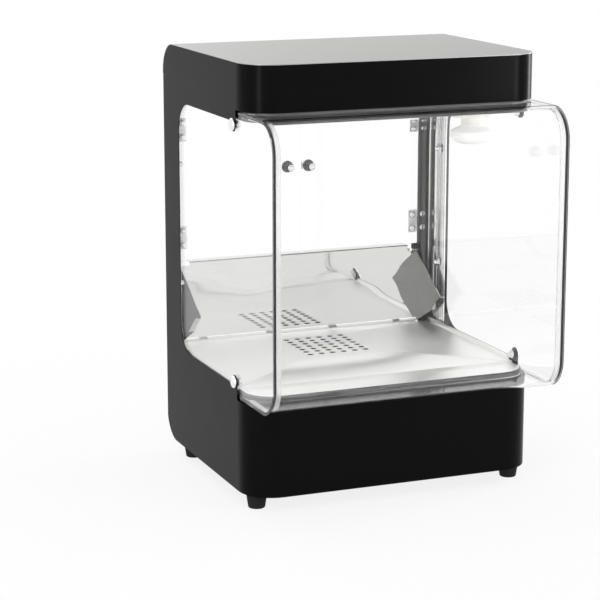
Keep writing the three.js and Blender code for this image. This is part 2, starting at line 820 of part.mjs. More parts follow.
function buildElement() {
  const turnY = heaterFront + heaterMargin + elementHalf;
  const end = heaterBack + heaterMargin;
  const bend = Array.from({ length: 9 }, (_, i) => {
    const angle = (i / 8) * Math.PI;
    return point3(elementHalf * Math.cos(angle), turnY - elementHalf * Math.sin(angle), elementZ);
  });
  const route = new THREE.CurvePath();
  const stops = [point3(elementHalf, end, elementZ), ...bend, point3(-elementHalf, end, elementZ)];
  stops.slice(1).forEach((stop, i) => route.add(new THREE.LineCurve3(stops[i], stop)));
  return new THREE.ExtrudeGeometry(circle(0, 0, elementRadius), {
    extrudePath: route,
    steps: 22,
    curveSegments: 3,
  });
}

function buildThermostat() {
  const outer = heaterHalf + fitGap;
  const y = (heaterFront + heaterBack) / 2;
  return carve([
    rod('x', y, elementZ, thermostatRadius, -outer - thermostatDepth / 2, -outer),
    rod('x', y, elementZ, thermostatRadius * 0.7, -outer - thermostatDepth, -outer - thermostatDepth / 3),
  ]);
}

cabinet.add(
  mesh('heater_box', buildHeaterBox(), galvanised),
  mesh('heating_element', buildElement(), elementSteel),
  mesh('thermostat', buildThermostat(), blackPlastic),
);

// Rear flap: hangs on a rod behind the tray, tilts out, its cheeks close the sides of the chute
const flapSheet = 1.2;
const flapHeight = 136.5;
const flapSideGap = 3;
const flapPivotInset = 3;
const flapPivotRise = 1.5;
const flapKnuckleRadius = 3;
const flapLip = 21;
const flapLipInset = 17;
const flapFoot = 4.5;
const flapTabWidth = 14;
const outerTabInset = 39;
const innerTabX = 57;
const cheekFlange = 9;
const flapHalf = openingHalf - flapSideGap;
const pivotY = rearY - flapPivotInset;
const pivotZ = lipTop + flapPivotRise;
const plateFront = -flapKnuckleRadius;
const plateBack = plateFront + flapSheet;
const tabPlaces = [innerTabX, flapHalf - outerTabInset].flatMap((x) => [-x, x]);

// Front, lower and bottom corners of a cheek about the pivot, as shares of the flap's height
const cheekShares = [[-0.757, 0.458], [-0.463, 0.204], [-0.063, 0.005]];
const cheekTopShare = 0.923;
const cheekHeelShare = 0.05;

function buildCheek(side) {
  const [nose, chin, heel] = cheekShares.map(([y, z]) => point(y * flapHeight, z * flapHeight));
  const seat = plateFront + flapSheet / 2;
  const outline = new THREE.Shape([
    point(seat, cheekTopShare * flapHeight), nose, chin, heel, point(seat, cheekHeelShare * flapHeight),
  ]);
  const inner = side * (flapHalf - flapSheet);
  const edge = chin.clone().sub(nose).normalize();
  const flange = bentSheet([
    nose.clone().addScaledVector(edge, cheekFlange / 2),
    chin.clone().addScaledVector(edge, -cheekFlange / 2),
  ], flapSheet);
  return [
    extrude('x', outline, inner, side * flapHalf),
    extrude('x', flange, inner, side * (flapHalf + cheekFlange)),
  ];
}

function buildFlap() {
  const lipHalf = flapHalf - flapLipInset;
  const sheet = bentSheet([
    point(plateFront, flapFoot),
    point(plateFront, flapHeight),
    point(flapLip, flapHeight),
  ], -flapSheet, flapKnuckleRadius);
  const shoulder = flapHeight - flapKnuckleRadius * 2;
  const tabs = tabPlaces.flatMap((x) => {
    const low = x - flapTabWidth / 2;
    const high = x + flapTabWidth / 2;
    return [
      rod('x', 0, 0, flapKnuckleRadius, low, high),
      extrude('y', rectangle(low, 0, high, flapFoot + flapTabWidth / 2), plateFront, plateBack),
    ];
  });
  const rodBore = bore('x', 0, 0, pinRadius, -openingHalf, openingHalf);
  return carve([
    extrude('x', sheet, -lipHalf, lipHalf),
    extrude('y', rectangle(-flapHalf, flapFoot, flapHalf, shoulder), plateFront, plateBack),
    ...tabs,
    ...bothSides.flatMap(({ side }) => buildCheek(side)),
  ], [rodBore]);
}

const flap = new THREE.Group();
flap.position.set(0, pivotY, pivotZ);
flap.add(mesh('rear_flap', buildFlap(), polishedSteel));
cabinet.add(flap);

// Hinge strip: bent up behind the tray as a kerb, notched for the flap's tabs, ears hold the rod
const stripSheet = 1;
const kerbRise = 5;
const shelfDrop = 11;
const stripSkirt = 26;
const earGap = 1.6;
const notchDepth = 3.5;

function buildHingeStrip() {
  const wall = innerRear - fitGap;
  const shelf = lipTop - shelfDrop;
  const kerbTop = lipTop + kerbRise;
  const kerbBack = kerbFace + stripSheet;
  const profile = bentSheet([
    point(wall, shelf - stripSkirt),
    point(wall, shelf),
    point(kerbBack, shelf),
    point(kerbBack, kerbTop),
  ], stripSheet, stripSheet * 2, 3);
  const earOuter = openingHalf - earGap / 3;
  const earInner = earOuter - stripSheet;
  const kerbHalf = flapHalf - 2 * flapSheet;
  const earTop = pivotZ + flapKnuckleRadius + earGap;
  const ear = rectangle(kerbFace, shelf - stripSheet, wall, earTop, stripSheet);
  const notchHalf = flapTabWidth / 2 + earGap / 2;
  return carve([
    extrude('x', profile, -earOuter, earOuter),
    ...bothSides.map(({ side }) => extrude('x', ear, side * earInner, side * earOuter, 3)),
  ], [
    ...bothSides.map(({ side }) => extrude('x',
      rectangle(kerbFace - cutOverrun, shelf + stripSheet, kerbBack + stripSheet, kerbTop + cutOverrun),
      side * kerbHalf, side * earInner)),
    ...tabPlaces.map((x) => extrude('y',
      rectangle(x - notchHalf, kerbTop - notchDepth, x + notchHalf, kerbTop + cutOverrun),
      kerbFace - cutOverrun, kerbBack + stripSheet)),
    bore('x', pivotY, pivotZ, pinRadius, -halfWidth, halfWidth),
  ]);
}

const rodHalf = openingHalf - fitGap;

cabinet.add(
  mesh('flap_hinge_strip', buildHingeStrip(), brushedSteel),
  mesh('flap_hinge_rod', rod('x', pivotY, pivotZ, pinRadius, -rodHalf, rodHalf, 4), chrome),
);

// Stop at the flap's upper right corner: a black bracket on the post, a steel pin at its lower end
const stopHeight = 11;
const stopSheet = 1.2;
const stopReach = 14;
const stopPinRadius = 4;
const stopPinLength = 4.5;
const stopPinInset = 15.5;
const stopLow = doorBottom - stopHeight + stopSheet;
const stopBack = pivotY + plateFront - fitGap;

function buildStopBracket() {
  const plan = bentSheet([
    point(openingHalf + stopSheet, linerFace - fitGap),
    point(openingHalf + stopSheet, stopBack),
    point(openingHalf - stopReach, stopBack),
  ], stopSheet, stopSheet * 2, 3);
  return extrude('z', plan, stopLow, stopLow + stopHeight);
}

function buildStopPin() {
  const seat = stopBack - stopSheet - fitGap;
  return rod('y', openingHalf - stopPinInset, stopLow, stopPinRadius, seat - stopPinLength, seat);
}

cabinet.add(
  mesh('flap_stop_bracket', buildStopBracket(), blackPlastic),
  mesh('flap_stop_pin', buildStopPin(), chrome),
);

// Rear doors: clear panes that swing out on their hinges, each with a turned knob
const doorBackY = rearY - hingeY;
const doorFrontY = doorBackY - doorThickness;
const knobNeckRadius = 6;
const knobScrewRadius = 2;
const knobScrewHead = 4.5;
const knobScrewDepth = 12;

function buildDoorPane(side) {
  const meeting = side * (paneGap / 2 - hingeX);
  const edge = side * (openingHalf - paneGap - hingeX);
  const outline = rectangle(Math.min(meeting, edge), doorBottom, Math.max(meeting, edge), doorTop, paneGap);
  const knobHole = bore('y', side * (knobFromMiddle - hingeX), knobHeight, knobScrewRadius,
    doorFrontY - cutOverrun, doorBackY + cutOverrun);
  const screwHoles = hingeScrewHeights().map((z) => bore('y', -side * screwFromBarrel, z,
    screwDiameter / 2, doorFrontY - cutOverrun, doorBackY + cutOverrun, 3));
  return carve([extrude('y', outline, doorFrontY, doorBackY, 2)], [knobHole, ...screwHoles]);
}

function buildKnob() {
  const radius = knobDiameter / 2;
  const socket = knobScrewRadius + 2 * fitGap;
  return new THREE.LatheGeometry([
    point(socket, 0),
    point(knobNeckRadius * 1.2, 0),
    point(knobNeckRadius, knobLength * 0.2),
    point(knobNeckRadius, knobLength * 0.4),
    point(radius * 0.94, knobLength * 0.55),
    point(radius, knobLength * 0.7),
    point(radius * 0.94, knobLength * 0.88),
    point(radius * 0.6, knobLength * 0.98),
    point(0, knobLength),
    point(0, knobScrewDepth + fitGap),
    point(socket, knobScrewDepth + fitGap),
    point(socket, 0),
  ], 14);
}

// The screw that holds a knob: its shank runs along +Y from the seat of its head
function buildKnobScrew() {
  const head = knobScrewHead / 2;
  return new THREE.LatheGeometry([
    point(0, -head),
    point(knobScrewHead * 0.7, -head),
    point(knobScrewHead, -head / 2),
    point(knobScrewHead, 0),
    point(knobScrewRadius, 0),
    point(knobScrewRadius, doorThickness + knobScrewDepth),
    point(0, doorThickness + knobScrewDepth),
  ], 10);
}

function buildDoor(name, side) {
  const door = new THREE.Group();
  const knob = mesh(`${name}_door_knob`, buildKnob(), blackPlastic);
  const knobScrew = mesh(`${name}_door_knob_screw`, buildKnobScrew(), chrome);
  door.position.set(side * hingeX, hingeY, 0);
  knob.position.set(side * (knobFromMiddle - hingeX), doorBackY + fitGap, knobHeight);
  knobScrew.position.set(knob.position.x, doorFrontY - fitGap, knobHeight);
  door.add(mesh(`${name}_door`, buildDoorPane(side), clearAcrylic), knob, knobScrew);
  for (const [place, z] of Object.entries(hingeHeights)) {
    const leaf = mesh(`${name}_door_${place}_hinge_leaf`, buildDoorLeaf(side), galvanised);
    leaf.position.z = z;
    door.add(leaf);
  }
  return door;
}

for (const { name, side } of bothSides) {
  cabinet.add(buildDoor(name, side));
  for (const [place, z] of Object.entries(hingeHeights)) {
    const leaf = mesh(`${name}_post_${place}_hinge_leaf`, buildPostLeaf(side), galvanised);
    leaf.position.set(side * hingeX, hingeY, z);
    cabinet.add(leaf);
  }
}

// Power inlet with its blades, set in the rear base panel
const controlFlange = 2.2;
const inletFlangeWidth = 50;
const inletCavity = { width: 24, height: 16.5, depth: 18 };
const bladeWidth = 2;
const bladeHeight = 4;
const bladeLength = 15;
const bladePitch = 7;
const controlOuter = rearY + fitGap + controlFlange;

function centred(width, height, radius = 0) {
  return rectangle(-width / 2, -height / 2, width / 2, height / 2, radius);
}

function buildInlet() {
  const seat = rearY + fitGap;
  const cavityBack = controlOuter - inletCavity.depth;
  const flange = centred(inletFlangeWidth, inletBody.height + 2 * controlFlange, controlFlange);
  const cavity = centred(inletCavity.width, inletCavity.height, 3 * controlFlange / 2);
  const housing = carve([
    extrude('y', flange, seat, controlOuter),
    extrude('y', centred(inletBody.width, inletBody.height), controlOuter - inletBody.depth,
      seat + controlFlange / 2),
  ], [extrude('y', cavity, cavityBack, controlOuter + cutOverrun)]);
  const blades = [[-bladePitch, 0], [0, bladePitch / 2], [bladePitch, 0]].map(([x, z]) => (
    extrude('y', centred(bladeWidth, bladeHeight), cavityBack - controlFlange, cavityBack + bladeLength)
      .translate(x, 0, z)));
  return carve([housing, ...blades]);
}

const inlet = mesh('power_inlet', buildInlet(), blackPlastic);
inlet.position.set(inletX, 0, controlZ);
cabinet.add(inlet);

// Rocker switches: a housing with a rocker on trunnions, at rest with its upper half pressed in
const rockerTilt = 8 * Math.PI / 180;
const switchCavity = { width: 10.4, height: 16, depth: 12 };
const rockerHalfHeight = 6.6;
const rockerCrest = 5.6;
const rockerDip = 4.4;
const rockerHeel = 4;
const rockerPivotInset = 1.5;
const trunnionRadius = 1.2;
const trunnionReach = 0.7;
const rockerPivotY = rearY - rockerPivotInset;
const trunnionBore = switchCavity.width / 2 + trunnionReach;

function buildSwitchHousing() {
  const seat = rearY + fitGap;
  const { width, height, depth } = switchBody;
  const flange = centred(width + controlFlange, height + controlFlange, controlFlange / 2);
  const cavity = centred(switchCavity.width, switchCavity.height);
  return carve([
    extrude('y', flange, seat, controlOuter),
    extrude('y', centred(width, height), controlOuter - depth, seat + controlFlange / 2),
  ], [
    extrude('y', cavity, controlOuter - switchCavity.depth, controlOuter + cutOverrun),
    bore('x', rockerPivotY, 0, trunnionRadius, -trunnionBore, trunnionBore),
  ]);
}

function buildRocker() {
  const outline = new THREE.Shape([
    point(rockerCrest, rockerHalfHeight),
    point(rockerDip, 0),
    point(rockerCrest, -rockerHalfHeight),
    point(0, -rockerHalfHeight),
    point(-rockerHeel, 0),
    point(0, rockerHalfHeight),
  ].reverse());
  const half = switchCavity.width / 2 - fitGap;
  return carve([
    extrude('x', outline, -half, half),
    rod('x', 0, 0, trunnionRadius, -half - trunnionReach, half + trunnionReach, 6),
  ]).rotateX(rockerTilt);
}

for (const [name, x] of [['light', lightSwitchX], ['heat', heatSwitchX]]) {
  const housing = mesh(`${name}_switch_housing`, buildSwitchHousing(), blackPlastic);
  const rocker = new THREE.Group();
  housing.position.set(x, 0, controlZ);
  rocker.position.set(x, rockerPivotY, controlZ);
  rocker.add(mesh(`${name}_switch_rocker`, buildRocker(), blackPlastic));
  cabinet.add(housing, rocker);
}

export default cabinet;
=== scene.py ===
import math

import bmesh
import bpy
import numpy as np
from mathutils import Euler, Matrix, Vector


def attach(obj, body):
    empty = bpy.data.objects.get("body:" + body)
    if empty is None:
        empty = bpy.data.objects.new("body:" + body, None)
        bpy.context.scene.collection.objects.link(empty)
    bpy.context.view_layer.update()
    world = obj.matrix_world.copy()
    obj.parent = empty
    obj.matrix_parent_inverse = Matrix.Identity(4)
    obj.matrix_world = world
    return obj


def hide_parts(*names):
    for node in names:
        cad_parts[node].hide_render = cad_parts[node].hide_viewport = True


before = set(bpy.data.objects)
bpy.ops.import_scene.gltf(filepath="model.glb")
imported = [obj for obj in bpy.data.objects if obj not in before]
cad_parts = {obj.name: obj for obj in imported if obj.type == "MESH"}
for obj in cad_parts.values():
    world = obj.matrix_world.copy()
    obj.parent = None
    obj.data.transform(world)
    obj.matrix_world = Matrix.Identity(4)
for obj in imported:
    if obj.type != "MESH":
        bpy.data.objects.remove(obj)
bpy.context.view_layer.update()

# Studio: a white room with a plain pale floor, lit by two large soft boxes, and by three slim ones that
# draw upright highlights on the rounded corners.


def hex_colour(code, alpha=1.0):
    """An sRGB hex value as a linear colour: the power curve of the sRGB standard, channel by channel."""
    channels = np.array([int(code[i:i + 2], 16) for i in (1, 3, 5)]) / 255
    linear = np.where(channels <= 0.04045, channels / 12.92, ((channels + 0.055) / 1.055) ** 2.4)
    return (*linear.tolist(), alpha)


def add(tree, kind, settings=None, links=None):
    """Adds one node, sets its properties and input values, and links its inputs to other nodes' outputs."""
    node = tree.nodes.new(kind)
    for name, value in (settings or {}).items():
        if isinstance(name, str) and name in node.bl_rna.properties:
            setattr(node, name, value)
        else:
            node.inputs[name].default_value = value
    for name, output in (links or {}).items():
        tree.links.new(output, node.inputs[name])
    return node


def seen_directly(tree):
    """1 for rays from the camera, off metal or through glass, 0 for rays that only carry light."""
    path = add(tree, "ShaderNodeLightPath")
    either = add(tree, "ShaderNodeMath", {"operation": "MAXIMUM"},
                 {0: path.outputs["Is Camera Ray"], 1: path.outputs["Is Glossy Ray"]})
    return add(tree, "ShaderNodeMath", {"operation": "MAXIMUM"},
               {0: either.outputs[0], 1: path.outputs["Is Transmission Ray"]}).outputs[0]


scene = bpy.context.scene
scene.view_settings.view_transform = "Standard"
ROOM_WHITE = hex_colour("#ffffff")
ROOM_LIGHT = 0.62
FLOOR_PALE = hex_colour("#f4f4f4")
FLOOR_REACH = 40.0
# The floor glows white where it is seen, by this share near the cabinet and wholly further out. The
# rest is lit paint, which keeps the cabinet's shadow.
GLOW_BY_CABINET = 0.84
SHADOW_ENDS = (0.35, 1.5)

room = bpy.data.worlds.new("white_studio")
room.use_nodes = True
room_tree = room.node_tree
room_tree.nodes.clear()
room_lit = add(room_tree, "ShaderNodeBackground", {"Color": ROOM_WHITE, "Strength": ROOM_LIGHT})
room_seen = add(room_tree, "ShaderNodeBackground", {"Color": ROOM_WHITE, "Strength": 1.0})
room_mix = add(room_tree, "ShaderNodeMixShader", None,
               {0: seen_directly(room_tree), 1: room_lit.outputs[0], 2: room_seen.outputs[0]})
add(room_tree, "ShaderNodeOutputWorld", None, {"Surface": room_mix.outputs[0]})
scene.world = room

floor_paint = bpy.data.materials.new("pale_studio_floor")
floor_paint.use_nodes = True
floor_tree = floor_paint.node_tree
floor_tree.nodes.clear()
spot = add(floor_tree, "ShaderNodeTexCoord").outputs["Object"]
floor_matt = add(floor_tree, "ShaderNodeBsdfDiffuse", {"Color": FLOOR_PALE})
floor_glow = add(floor_tree, "ShaderNodeEmission", {"Color": ROOM_WHITE, "Strength": 1.0})
away = add(floor_tree, "ShaderNodeVectorMath", {"operation": "LENGTH"}, {0: spot})
sweep_share = add(floor_tree, "ShaderNodeMapRange",
                  {"From Min": SHADOW_ENDS[0], "From Max": SHADOW_ENDS[1], "To Min": GLOW_BY_CABINET},
                  {0: away.outputs["Value"]})
floor_share = add(floor_tree, "ShaderNodeMath", {"operation": "MULTIPLY"},
                  {0: seen_directly(floor_tree), 1: sweep_share.outputs[0]})
floor_mix = add(floor_tree, "ShaderNodeMixShader", None,
                {0: floor_share.outputs[0], 1: floor_matt.outputs[0], 2: floor_glow.outputs[0]})
add(floor_tree, "ShaderNodeOutputMaterial", None, {"Surface": floor_mix.outputs[0]})

floor_mesh = bpy.data.meshes.new("floor")
floor_corners = FLOOR_REACH * np.array([(-1, -1, 0), (1, -1, 0), (1, 1, 0), (-1, 1, 0)])
floor_mesh.from_pydata(floor_corners.tolist(), [], [(0, 1, 2, 3)])
floor_mesh.materials.append(floor_paint)
floor = bpy.data.objects.new("floor", floor_mesh)
scene.collection.objects.link(floor)

SOFT_BOXES = {
    "key_box": {"place": (-1.6, -2.4, 2.6), "width": 1.8, "height": 1.8, "watts": 16},
    "back_box": {"place": (-0.6, 2.4, 2.2), "width": 2.0, "height": 2.0, "watts": 28},
    "left_strip": {"place": (-2.3, -1.5, 0.8), "width": 0.3, "height": 2.0, "watts": 22},
    "right_strip": {"place": (2.4, 0.5, 0.8), "width": 0.5, "height": 1.6, "watts": 24},
    "front_strip": {"place": (1.4, -1.65, 0.45), "width": 0.5, "height": 1.0, "watts": 12},
}
SOFT_BOX_AIM = (0, 0, 0.35)
for box_name, soft_box in SOFT_BOXES.items():
    lamp_data = bpy.data.lights.new(box_name, "AREA")
    lamp_data.shape = "RECTANGLE"
    lamp_data.size = soft_box["width"]
    lamp_data.size_y = soft_box["height"]
    lamp_data.energy = soft_box["watts"]
    lamp_object = bpy.data.objects.new(box_name, lamp_data)
    lamp_object.location = soft_box["place"]
    towards = Vector(SOFT_BOX_AIM) - Vector(soft_box["place"])
    lamp_object.rotation_euler = towards.to_track_quat("-Z", "Y").to_euler()
    lamp_object.visible_camera = False
    lamp_object.visible_transmission = False
    scene.collection.objects.link(lamp_object)

# Camera: stands at the photograph's viewpoint, to the left of the front and a little above, with a
# long lens.
CAMERA_PLACE = (-1.3326, -3.0577, 1.0283)
CAMERA_TURN = 21.99
CAMERA_DIP = 12.49
CAMERA_LENS = 124.95
CAMERA_SENSOR = 36
camera = bpy.data.objects.new("camera", bpy.data.cameras.new("camera"))
camera.data.sensor_width = CAMERA_SENSOR
camera.data.lens = CAMERA_LENS
camera.location = CAMERA_PLACE
camera.rotation_euler = Euler((math.radians(90 - CAMERA_DIP), 0, math.radians(-CAMERA_TURN)))
scene.collection.objects.link(camera)
scene.camera = camera

# Shell: sheet steel bent and spot-welded, then powder coated in fine-textured satin black. The side
# panels are C-shaped round their windows, and the base front and the fascia wrap round the corners.


def new_finish(name):
    """A material, its node tree, its Principled shader, and the object's own coordinates as its place."""
    material = bpy.data.materials.new(name)
    material.use_nodes = True
    tree = material.node_tree
    return material, tree, tree.nodes["Principled BSDF"], add(tree, "ShaderNodeTexCoord").outputs["Object"]


def put(shader, **values):
    """Sets sockets of a shader that are the same all over the surface."""
    for name, value in values.items():
        shader.inputs[name.replace("_", " ")].default_value = value


def per_mm(size):
    """The pattern scale at which one grain is that many millimetres wide, on coordinates in metres."""
    return 1000 / size


def uneven_gloss(tree, shader, place, patch, detail, roughness):
    """Lets the roughness drift between two values, in soft patches of that many millimetres."""
    patches = add(tree, "ShaderNodeTexNoise", {"Scale": per_mm(patch), "Detail": detail}, {"Vector": place})
    drift = add(tree, "ShaderNodeMapRange", {"To Min": roughness[0], "To Max": roughness[1]},
                {"Value": patches.outputs["Fac"]})
    tree.links.new(drift.outputs[0], shader.inputs["Roughness"])


def soft_relief(tree, shader, place, grain, detail, strength, depth, crispness=0.5):
    """Raises soft grains on the surface, with their width and their depth in millimetres."""
    grains = add(tree, "ShaderNodeTexNoise", {"Scale": per_mm(grain), "Detail": detail, "Roughness": crispness},
                 {"Vector": place})
    bump = add(tree, "ShaderNodeBump", {"Strength": strength, "Distance": depth / 1000},
               {"Height": grains.outputs["Fac"]})
    tree.links.new(bump.outputs[0], shader.inputs["Normal"])


def fitted(name, surface, body, finishes, stands_for=(), soft_edge=0.0, sharp=32, wall=0.0):
    """Makes a mesh a piece of the cabinet: shaded smooth but for edges over sharp degrees, given a sheet
    thickness and a small rounded edge in millimetres where asked, and fixed to its body."""
    surface.shade_smooth()
    surface.set_sharp_from_angle(angle=math.radians(sharp))
    for material in finishes:
        surface.materials.append(material)
    piece = bpy.data.objects.new(name, surface)
    scene.collection.objects.link(piece)
    if wall:
        sheet = piece.modifiers.new("sheet", "SOLIDIFY")
        sheet.thickness = wall / 1000
        sheet.offset = -1
        sheet.use_even_offset = True
    if soft_edge:
        edge = piece.modifiers.new("soft_edge", "BEVEL")
        edge.width = soft_edge / 1000
        edge.segments = 2
        edge.limit_method = "ANGLE"
        edge.angle_limit = math.radians(sharp)
        edge.use_clamp_overlap = True
        edge.harden_normals = True
    if stands_for:
        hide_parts(*stands_for)
    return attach(piece, body)


MERGE_WITHIN = 2e-6
FLAT_WITHIN = math.radians(0.5)


def merged_copy(node):
    """A copy of a CAD node with its loose triangles merged into whole faces."""
    shape = bmesh.new()
    shape.from_mesh(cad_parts[node].data)
    bmesh.ops.remove_doubles(shape, verts=shape.verts, dist=MERGE_WITHIN)
    bmesh.ops.dissolve_limit(shape, angle_limit=FLAT_WITHIN, verts=shape.verts, edges=shape.edges)
    surface = bpy.data.meshes.new(node + "_surface")
    shape.to_mesh(surface)
    shape.free()
    if "custom_normal" in surface.attributes:
        surface.attributes.remove(surface.attributes["custom_normal"])
    return surface


def refined(node, body, finishes, soft_edge=0.25, sharp=32):
    """A CAD node with whole faces, smooth bends and rounded edges in its place."""
    return fitted(node + "_piece", merged_copy(node), body, finishes, (node,), soft_edge, sharp)


# Polyester powder coat on steel: a fine orange peel about 1 mm across that breaks up the highlights.
# Its specular level is set low, so that it stays deep black in a white room, as the real one does.
powder_coat, tree, shader, place = new_finish("black_polyester_powder_coat")
put(shader, Base_Color=hex_colour("#0b0b0c"), Specular_IOR_Level=0.04)
soft_relief(tree, shader, place, grain=1.1, detail=3.0, strength=0.4, depth=0.05, crispness=0.55)
uneven_gloss(tree, shader, place, patch=70, detail=2.0, roughness=(0.2, 0.3))

for node in ("left_side_panel", "right_side_panel", "base_front_panel", "fascia_panel",
             "rear_base_panel", "rear_upper_panel", "base_plate"):
    refined(node, "cabinet", [powder_coat])

# Top cover: one sheet of stainless steel, rolled down over the rear edge. Its satin grain runs along
# its width and is drawn coarser than the real grit, so that it shows as faint streaks.


def streaks(tree, place, stretch, grain, detail, crispness=0.5):
    """Grains of that many millimetres, drawn out along each axis on which the stretch is under 1."""
    drawn_out = add(tree, "ShaderNodeMapping", {"Scale": stretch}, {"Vector": place})
    return add(tree, "ShaderNodeTexNoise", {"Scale": per_mm(grain), "Detail": detail, "Roughness": crispness},
               {"Vector": drawn_out.outputs[0]}).outputs["Fac"]


def two_tones(tree, pattern, dark, light, ends):
    """A colour that goes from the dark to the light tone as the pattern's value goes between the ends."""
    share = add(tree, "ShaderNodeMapRange", {"From Min": ends[0], "From Max": ends[1]}, {"Value": pattern})
    return add(tree, "ShaderNodeMix", {"data_type": "RGBA", 6: hex_colour(dark), 7: hex_colour(light)},
               {0: share.outputs[0]}).outputs[2]


satin_steel, tree, shader, place = new_finish("satin_ground_stainless_steel")
put(shader, Metallic=1.0)
grain = streaks(tree, place, stretch=(0.02, 1.0, 1.0), grain=0.9, detail=4.0, crispness=0.6)
grain_rough = add(tree, "ShaderNodeMapRange", {"To Min": 0.34, "To Max": 0.5}, {"Value": grain})
grain_bump = add(tree, "ShaderNodeBump", {"Strength": 0.35, "Distance": 0.00002}, {"Height": grain})
tree.links.new(grain_rough.outputs[0], shader.inputs["Roughness"])
tree.links.new(two_tones(tree, grain, "#9d9d9c", "#ababaa", (0.3, 0.7)), shader.inputs["Base Color"])
tree.links.new(grain_bump.outputs[0], shader.inputs["Normal"])
refined("top_cover", "cabinet", [satin_steel])

# Post liners: stainless angles inside the rear posts, brushed upright, with a small bend radius
# where the side leg turns into the rear leg. They stop short of the window's black edge.


def mesh_from(name, grids, solid=True):
    """Joins grids of points, given in millimetres, into one mesh. With each grid comes whether it goes
    round, and the number of its material. Each point is tied to its neighbours in four-sided faces, and
    the last column to the first where a grid goes round. Equal points merge, which closes seams and poles,
    and the faces of a closed solid are then turned outwards."""
    points, cells, kinds, count = [], [], [], 0
    for grid, around, kind in grids:
        rows, columns = grid.shape[:2]
        index = count + np.arange(rows * columns).reshape(rows, columns)
        if around:
            index = np.hstack([index, index[:, :1]])
        quads = np.stack([index[:-1, :-1], index[:-1, 1:], index[1:, 1:], index[1:, :-1]], axis=-1).reshape(-1, 4)
        points.append(grid.reshape(-1, 3))
        cells.append(quads)
        kinds.append(np.full(len(quads), kind))
        count += rows * columns
    surface = bpy.data.meshes.new(name + "_surface")
    surface.from_pydata((np.concatenate(points) / 1000).tolist(), [], np.concatenate(cells).tolist())
    surface.polygons.foreach_set("material_index", np.concatenate(kinds))
    shape = bmesh.new()
    shape.from_mesh(surface)
    bmesh.ops.remove_doubles(shape, verts=shape.verts, dist=MERGE_WITHIN)
    if solid:
        bmesh.ops.recalc_face_normals(shape, faces=shape.faces)
    shape.to_mesh(surface)
    shape.free()
    return surface


def carried_up(plan, low, high, steps):
    """A plan line carried straight up: row i is a point of the plan, column j a level between low and high."""
    levels = np.linspace(low, high, steps)
    flat = np.repeat(plan[:, None, :], steps, axis=1)
    return np.concatenate([flat, np.broadcast_to(levels[None, :, None], (len(plan), steps, 1))], axis=2)


LINER_SIDE_X = 245.2
LINER_REAR_Y = 236.55
LINER_FRONT_Y = 166.0
LINER_EDGE_X = 222.0
LINER_BEND = 3.0
LINER_LEVELS = (148.0, 651.0)
LINER_SHEET = 0.8
SIDES = {"left": -1, "right": 1}

# Brushed stainless steel: long upright scratches, drawn coarser than the real ones so that they show,
# and broad bands that the rolling left, which show as dark and light stripes. The rear legs, which face
# the front, take a darker pair of tones than the side legs: painted shade on the same steel.
brushed_steel, tree, shader, place = new_finish("brushed_stainless_steel")
put(shader, Metallic=1.0)
brush = streaks(tree, place, stretch=(1.0, 1.0, 0.012), grain=0.8, detail=4.0, crispness=0.65)
bands = streaks(tree, place, stretch=(1.0, 1.0, 0.012), grain=7, detail=2.0)
place_parts = add(tree, "ShaderNodeSeparateXYZ", None, {0: place})
out_from_middle = add(tree, "ShaderNodeMath", {"operation": "ABSOLUTE"}, {0: place_parts.outputs["X"]})
# Painted shade: the side legs take the light pair of tones, the rear legs the dark pair.
lit_leg_share = add(tree, "ShaderNodeMapRange",
               {"From Min": (LINER_SIDE_X - LINER_BEND) / 1000, "From Max": (LINER_SIDE_X - 0.2) / 1000},
               {"Value": out_from_middle.outputs[0]})
band_and_shade_tone = add(tree, "ShaderNodeMix", {"data_type": "RGBA"},
                {0: lit_leg_share.outputs[0], 6: two_tones(tree, bands, "#3c3c3b", "#6a6a69", (0.38, 0.62)),
                 7: two_tones(tree, bands, "#bcbcbb", "#f6f6f5", (0.38, 0.62))})
brush_rough = add(tree, "ShaderNodeMapRange", {"To Min": 0.12, "To Max": 0.34}, {"Value": brush})
brush_bump = add(tree, "ShaderNodeBump", {"Strength": 0.3, "Distance": 0.00002}, {"Height": brush})
tree.links.new(band_and_shade_tone.outputs[2], shader.inputs["Base Color"])
tree.links.new(brush_rough.outputs[0], shader.inputs["Roughness"])
tree.links.new(brush_bump.outputs[0], shader.inputs["Normal"])

for side_name, side in SIDES.items():
    turn = np.radians(np.linspace(0, 90, 7))
    bend_x = LINER_SIDE_X - LINER_BEND + LINER_BEND * np.cos(turn)
    bend_y = LINER_REAR_Y - LINER_BEND + LINER_BEND * np.sin(turn)
    plan_x = side * np.concatenate([[LINER_SIDE_X], bend_x, [LINER_EDGE_X]])
    plan_y = np.concatenate([[LINER_FRONT_Y], bend_y, [LINER_REAR_Y]])
    leaf = carried_up(np.stack([plan_x, plan_y], axis=1), *LINER_LEVELS, steps=9)[:, ::side]
    fitted(f"{side_name}_post_liner_piece", mesh_from(f"{side_name}_post_liner", [(leaf, False, 0)], solid=False),
           "cabinet", [brushed_steel], (f"{side_name}_post_liner",), wall=LINER_SHEET)

# Floor tray and ceiling pan: bright-rolled stainless sheet. Their front and side edges are rolled
# over into walls round the front corners, and the tray's floor is pierced with 42 hot-air holes.
PAN_HALF_SPAN = 239.6
PAN_FRONT_Y = -167.65
PAN_CORNER = 50.0
PAN_ROLL = 4.0
PAN_SHEET = 1.0


